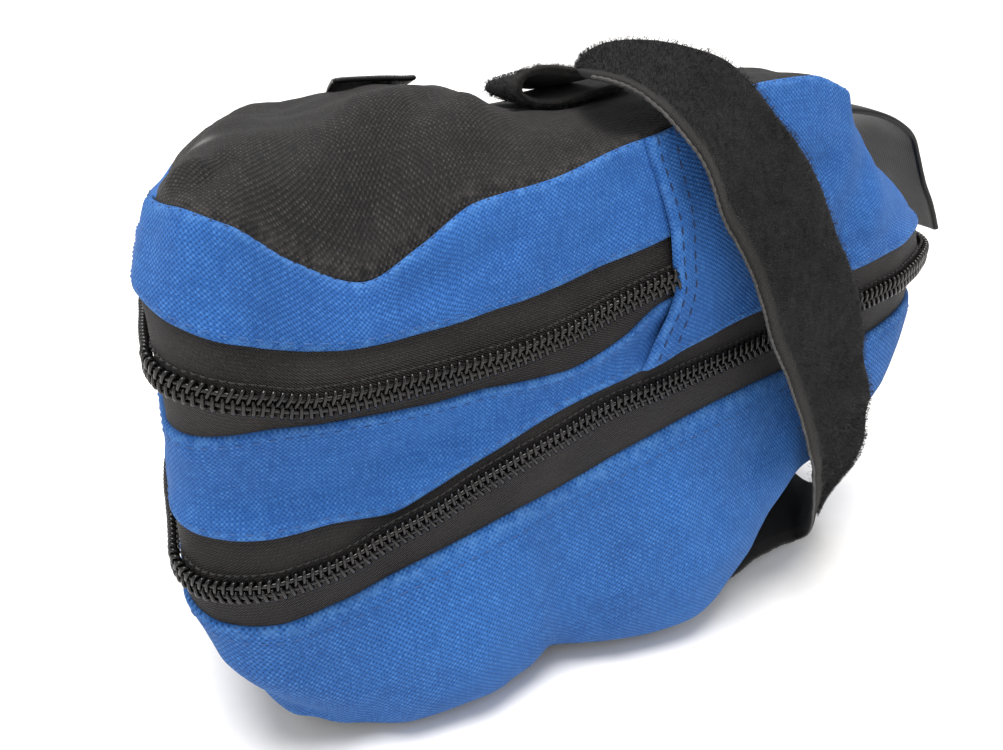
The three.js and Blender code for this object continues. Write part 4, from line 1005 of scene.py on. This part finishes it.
def pile(name, skin, normal, uv, s, wide, per_mm, limit, start_edge, seed_tone, length=1.25, lo=0.0, hi=1e9, fuzz=True):
    """Pile over a strap's outer face, with fuzz along both its edges."""
    inside = (s > lo) & (s < hi)
    cols = np.where(inside)[0]
    area = np.trapezoid(wide[inside], s[inside]) if hasattr(np, "trapezoid") else np.trapz(wide[inside], s[inside])
    count = int(min(limit, area * per_mm))
    at = RNG.uniform(cols[0], cols[-1] - 0.01, count * 2)
    k = RNG.uniform(0, skin.shape[0] - 1.01, count * 2)
    tex = sample(uv, k, at)
    cum = np.interp(at, np.arange(len(s)), s)
    x, total = tex[:, 1], np.interp(at, np.arange(len(s)), wide)
    # even cover across the strap: rows are closer near the edges
    rows_x = np.linspace(0, 1, 400)
    ok = x > start_edge - 0.5 * RNG.uniform(0, 1, len(x))
    weight = np.interp(k, np.arange(skin.shape[0] - 1) + 0.5, np.diff(uv[:, cols[len(cols) // 2], 1]))
    ok &= RNG.uniform(0, weight.max(), len(x)) < weight
    pick = np.where(ok)[0][:count]
    p, n = sample(skin, k[pick], at[pick]), unit(sample(normal, k[pick], at[pick]))
    flow = unit(sample(np.gradient(skin, axis=1), k[pick], at[pick]))
    across = unit(sample(np.gradient(skin, axis=0), k[pick], at[pick]))
    # near the edges the pile leans outwards
    x, total = x[pick], total[pick]
    lean = np.exp(-x / 1.0) * (-1.0) + np.exp(-(total - x) / 1.0)
    n = unit(n + across * (lean * 0.9)[:, None])
    clump = noise(p, 2.2, 41) * 0.5 + noise(p, 5.5, 43) * 0.5
    tone = np.clip(0.14 + 0.45 * clump + np.abs(RNG.normal(0, 0.14, len(p))) + 0.55 * (RNG.uniform(0, 1, len(p)) < 0.10), 0, 1)
    ln = length * (1 + 0.35 * clump)
    v, f, tones = fibre_set(p, n, flow, 3, ln, 0.048, 0.8, tone)
    parts, values = [(v, f)], [tones]
    if fuzz:
        m = int((s[inside][-1] - s[inside][0]) * 3.2)
        for edge in (0, 1):
            if edge == 0 and start_edge > 1:
                m2 = m // 3
            else:
                m2 = m
            at = RNG.uniform(cols[0], cols[-1] - 0.01, m2)
            k = np.full(m2, 0.4 if edge == 0 else skin.shape[0] - 1.4)
            p = sample(skin, k, at) - unit(sample(normal, k, at)) * RNG.uniform(0, 1.0, m2)[:, None]
            flow = unit(sample(np.gradient(skin, axis=1), k, at))
            across = unit(sample(np.gradient(skin, axis=0), k, at)) * (-1 if edge == 0 else 1)
            n = unit(across + 0.5 * sample(normal, k, at) * RNG.uniform(-0.6, 1.2, m2)[:, None])
            tone = np.clip(0.25 + np.abs(RNG.normal(0, 0.2, m2)), 0, 1)
            v, f, tones = fibre_set(p, n, flow, 3, np.full(m2, 1.15 * length), 0.032, 0.9, tone)
            parts.append((v, f))
            values.append(tones)
    v, f = join(parts)
    v[:, 2] = np.maximum(v[:, 2], 0.08)
    return build(name, v, f, None, {"tone": np.concatenate(values)})


skin, lining, nrm, uv, s, wide = strap("wrap_strap_tape", WRAP[:, :3], WRAP[:, 3:], THICK["pile"], 210, 24, 0.35, 0.35, 8.0, 51)
middle = np.array([115.0, 0, 75])
row = np.searchsorted(s, 60)
face = 1.0 if np.dot(nrm[12, row], skin[12, row] - middle) > 0 else -1.0
outer, inner_face = (skin, lining) if face > 0 else (lining, skin)
wrap_tape = give(slab("wrap_strap_tape", skin, lining, uv, False), PILE_BASE, ["wrap_strap"])
turned = s[-1] - 62  # where the strap has turned under
wrap_pile_top = give(pile("wrap_strap_pile_top", outer, nrm * face, uv, s, wide, 4.2, 6400, 3.0, 0, 1.05, 0.0, 74.0), PILE)
wrap_pile_low = give(pile("wrap_strap_pile_low", outer, nrm * face, uv, s, wide, 4.2, 6400, 3.0, 0, 1.05, 73.5, 158.0), PILE)

cord = sample(0.5 * (skin + lining), np.full(400, 0.0), np.linspace(6, len(s) - 2, 400))
away = sample(np.gradient(skin, axis=0), np.full(400, 0.5), np.linspace(6, len(s) - 2, 400))
cord = cord - unit(away) * 0.12
v, f = tubes(cord[None], sample(nrm, np.full(400, 0.0), np.linspace(6, len(s) - 2, 400))[None] * face, np.full((1, 400), 0.30) * (1 + 0.3 * np.sin(np.arange(400) * 2.1)), 6)
selvedge = give(build("wrap_strap_selvedge", v, f), SELVEDGE)
print("wrap length", round(float(s[-1]), 1), "mean width", round(float(wide.mean()), 1))

loop_l = np.stack([LOOP_PATH[:, 0], np.full(len(LOOP_PATH), LOOP["y"] - LOOP["width"] / 2), LOOP_PATH[:, 1] - LOOP["tilt"] / 2], 1)
loop_r = np.stack([LOOP_PATH[:, 0], np.full(len(LOOP_PATH), LOOP["y"] + LOOP["width"] / 2), LOOP_PATH[:, 1] + LOOP["tilt"] / 2 - 1.5 * LOOP_PATH[:, 2]], 1)
skin, lining, nrm, uv, s, wide = strap("top_loop_tape", loop_l, loop_r, 1.5, 110, 12, 0.1, 0.25, 0.0, 71)
mid_loop = np.array([82.0, 7.0, 123.4])
face = 1.0 if np.sum(nrm[6] * (skin[6] - mid_loop)) > 0 else -1.0
loop_tape = give(slab("top_loop_tape", skin, lining, uv, False), PILE_BASE, ["top_strap_loop"])
loop_pile = give(pile("top_loop_pile", skin if face > 0 else lining, nrm * face, uv, s, wide, 5.0, 4000, 0.0, 0, 0.8, 2.0), PILE)

y = np.linspace(FAR_PATH[0, 0], FAR_PATH[-1, 0], 24)
lift = curve(FAR_PATH[:, 0], FAR_PATH[:, 1])(y)
half = abs(float(outline("top", np.array([FAR_STRAP["x"]]), np.array([1.0]))[1][0]))
z = top_height(HEIGHT["topFar"](FAR_STRAP["x"]), 1 - y / half, np.array(FAR_STRAP["x"]), 0.0) + lift - 0.75
wave = 0.45 * np.sin((y - 4) / 4.2)
far_l = np.stack([np.full_like(y, FAR_STRAP["x"] - FAR_STRAP["width"] / 2), y, z + wave], 1)
far_r = np.stack([np.full_like(y, FAR_STRAP["x"] + FAR_STRAP["width"] / 2), y, z + 0.5 - wave], 1)
skin, lining, nrm, uv, s, wide = strap("far_strap_tape", far_l, far_r, 1.1, 60, 16, 0.25, 0.2, 0.0, 81)
far_tape = give(slab("far_strap_tape", skin, lining, uv, False), WEBBING, ["far_top_strap"])

front_l = np.stack([FRONT_PATH[:, 0], np.full(len(FRONT_PATH), FRONT["y"] - FRONT["width"] / 2), FRONT_PATH[:, 1]], 1)
front_r = np.stack([FRONT_PATH[:, 0], np.full(len(FRONT_PATH), FRONT["y"] + FRONT["width"] / 2), FRONT_PATH[:, 1]], 1)
front_l[-1] += (-0.6, 0, 1.6)
skin, lining, nrm, uv, s, wide = strap("front_strap_tape", front_l, front_r, 1.5, 90, 22, -0.35, 0.12, 0.0, 91)
front_tape = give(slab("front_strap_tape", skin, lining, uv, False), WEBBING, ["front_strap"])


# ---------------------------------------------------------------- sliders
def prism(points, z0, z1):
    """Closed block over a flat outline: verts and faces."""
    p = np.asarray(points, float)
    n = len(p)
    v = np.concatenate([np.c_[p, np.full(n, z0)], np.c_[p, np.full(n, z1)]])
    i = np.arange(n)
    j = (i + 1) % n
    return v, [np.stack([i, j, j + n, i + n], 1), i[::-1].reshape(1, -1), (i + n).reshape(1, -1)]


def frame_plate(outer_pts, inner_pts, z0, z1):
    """Closed plate with a hole; both outlines have as many points."""
    o, h = np.asarray(outer_pts, float), np.asarray(inner_pts, float)
    n = len(o)
    v = np.concatenate([np.c_[o, np.full(n, z0)], np.c_[o, np.full(n, z1)], np.c_[h, np.full(n, z0)], np.c_[h, np.full(n, z1)]])
    i = np.arange(n)
    j = (i + 1) % n
    return v, [np.stack([i, j, j + n, i + n], 1), np.stack([i + 3 * n, j + 3 * n, j + 2 * n, i + 2 * n], 1), np.stack([i + n, j + n, j + 3 * n, i + 3 * n], 1), np.stack([i + 2 * n, j + 2 * n, j, i], 1)]


def rounded(cx, cy, hx, hy, r, k=6):
    pts = []
    for sx, sy, a0 in ((1, 1, 0), (-1, 1, 90), (-1, -1, 180), (1, -1, 270)):
        for a in np.radians(np.linspace(a0, a0 + 90, k)):
            pts.append((cx + sx * (hx - r) + r * math.cos(a), cy + sy * (hy - r) + r * math.sin(a)))
    return pts


def slider(name, seam_name, at):
    a, sd = np.array([float(at)]), np.array([1.0])
    p, n = seam(seam_name, a, sd)[0], outward(seam_name, a, sd)[0]
    up = np.array([0, 0, 1.0])
    along = np.cross(up, n)
    lift = 0.35 + 2.0 + 0.6 + float(soft(seam(seam_name, a, sd), a, sd)[0]) * 0.5
    body = [(-5.3, -1.9), (-4.6, -2.7), (0, -3.3), (2.9, -4.3), (4.6, -4.1), (5.4, -2.9), (5.4, 2.9), (4.6, 4.1), (2.9, 4.3), (0, 3.3), (-4.6, 2.7), (-5.3, 1.9)]
    plate = [(x * 0.94, y * 0.92) for x, y in body]
    bridge = prism([(-3.4, -1.1), (2.8, -1.1), (2.8, 1.1), (-3.4, 1.1)], 1.5, 2.7)
    parts = [prism(body, -0.2, 0.9), prism(plate, 0.9, 1.5), bridge]
    ring = [(math.cos(t) * 1.9 - 0.4, math.sin(t) * 1.9 - 1.6) for t in np.linspace(0, 2 * math.pi, 25)[:-1]]
    hole = [(math.cos(t) * 1.05 - 0.4, math.sin(t) * 1.05 - 1.6) for t in np.linspace(0, 2 * math.pi, 25)[:-1]]
    parts.append(frame_plate(ring, hole, 2.75, 3.55))
    parts.append(frame_plate(rounded(0, -12.5, 2.6, 9.3, 1.5), rounded(0, -17.5, 1.3, 2.4, 1.1), 2.9, 3.9))
    v, f = join(parts)
    world = p + n * lift + v[:, :1] * along + v[:, 1:2] * up + v[:, 2:3] * n
    ob = build(name, world, f, smooth=False)
    bevel = ob.modifiers.new("edges", "BEVEL")
    bevel.width, bevel.segments, bevel.limit_method, bevel.angle_limit = 0.00028, 2, "ANGLE", math.radians(40)
    return ob


upper_slider = give(slider("upper_slider_body", "zipA", 76), METAL, ["upper_zip_slider"])
lower_slider = give(slider("lower_slider_body", "zipB", 60), METAL, ["lower_zip_slider"])

# ---------------------------------------------------------------- cloth sizes
for row in SHEET:
    print("sheet", *row)
SIZES = {name: (area, length, width) for name, area, length, _, _, width in SHEET}


def declare(ob):
    area, length, width = SIZES[ob.name]
    width = max(width, area / length)


declare(upper_band)
declare(upper_tape_a)
declare(upper_tape_b)
declare(middle_band)
declare(front_panel)
declare(lower_tape_a)
declare(lower_tape_b)
declare(lower_shell)
declare(top_cloth)
declare(base_cloth)
declare(wrap_tape)
declare(loop_tape)
declare(far_tape)
declare(front_tape)

# ---------------------------------------------------------------- floor, light, camera
me = bpy.data.meshes.new("floor")
me.from_pydata([(-40, -40, 0), (40, -40, 0), (40, 40, 0), (-40, 40, 0)], [], [(0, 1, 2, 3)])
floor = bpy.data.objects.new("floor", me)
bpy.context.scene.collection.objects.link(floor)
floor.data.materials.append(FLOOR)
floor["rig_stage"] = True


def area_light(name, place, target, size, watts, colour):
    data = bpy.data.lights.new(name, "AREA")
    data.shape, data.size, data.energy, data.color = "DISK", size, watts, colour
    ob = bpy.data.objects.new(name, data)
    ob.location = place
    ob.rotation_euler = (Vector(target) - Vector(place)).to_track_quat("-Z", "Y").to_euler()
    bpy.context.scene.collection.objects.link(ob)
    return ob


def sun(name, direction, strength, spread, colour):
    data = bpy.data.lights.new(name, "SUN")
    data.energy, data.angle, data.color = strength, math.radians(spread), colour
    ob = bpy.data.objects.new(name, data)
    ob.rotation_euler = Vector(direction).to_track_quat("-Z", "Y").to_euler()
    bpy.context.scene.collection.objects.link(ob)


sun("key", (0.06, 0.08, -0.99), 3.9, 32, (1.0, 0.985, 0.965))
area_light("fill", (-0.55, -0.75, 0.75), (0, 0, 0.05), 0.7, 1.2, (0.96, 0.98, 1.0))

world = bpy.data.worlds.new("studio")
world.use_nodes = True
world.node_tree.nodes["Background"].inputs[0].default_value = (0.96, 0.975, 1.0, 1)
world.node_tree.nodes["Background"].inputs[1].default_value = 0.72
bpy.context.scene.world = world

cam = bpy.data.cameras.new("camera")
cam.sensor_fit, cam.sensor_width, cam.lens = "HORIZONTAL", 36.0, 30.51
cam.clip_start = 0.01
camera = bpy.data.objects.new("camera", cam)
camera.location = (-0.0823587, -0.1746312, 0.148)
camera.rotation_euler = Euler((math.radians(64), 0, math.radians(-19)))
bpy.context.scene.collection.objects.link(camera)
bpy.context.scene.camera = camera
bpy.context.scene.view_settings.view_transform = "Standard"
bpy.context.scene.view_settings.look = "None"

total = 0
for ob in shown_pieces():
    if ob.type == "MESH" and "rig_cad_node" not in ob:
        count = sum(len(p.vertices) - 2 for p in ob.data.polygons)
        total += count
        print("piece", ob.name, count)
print("triangles", total)
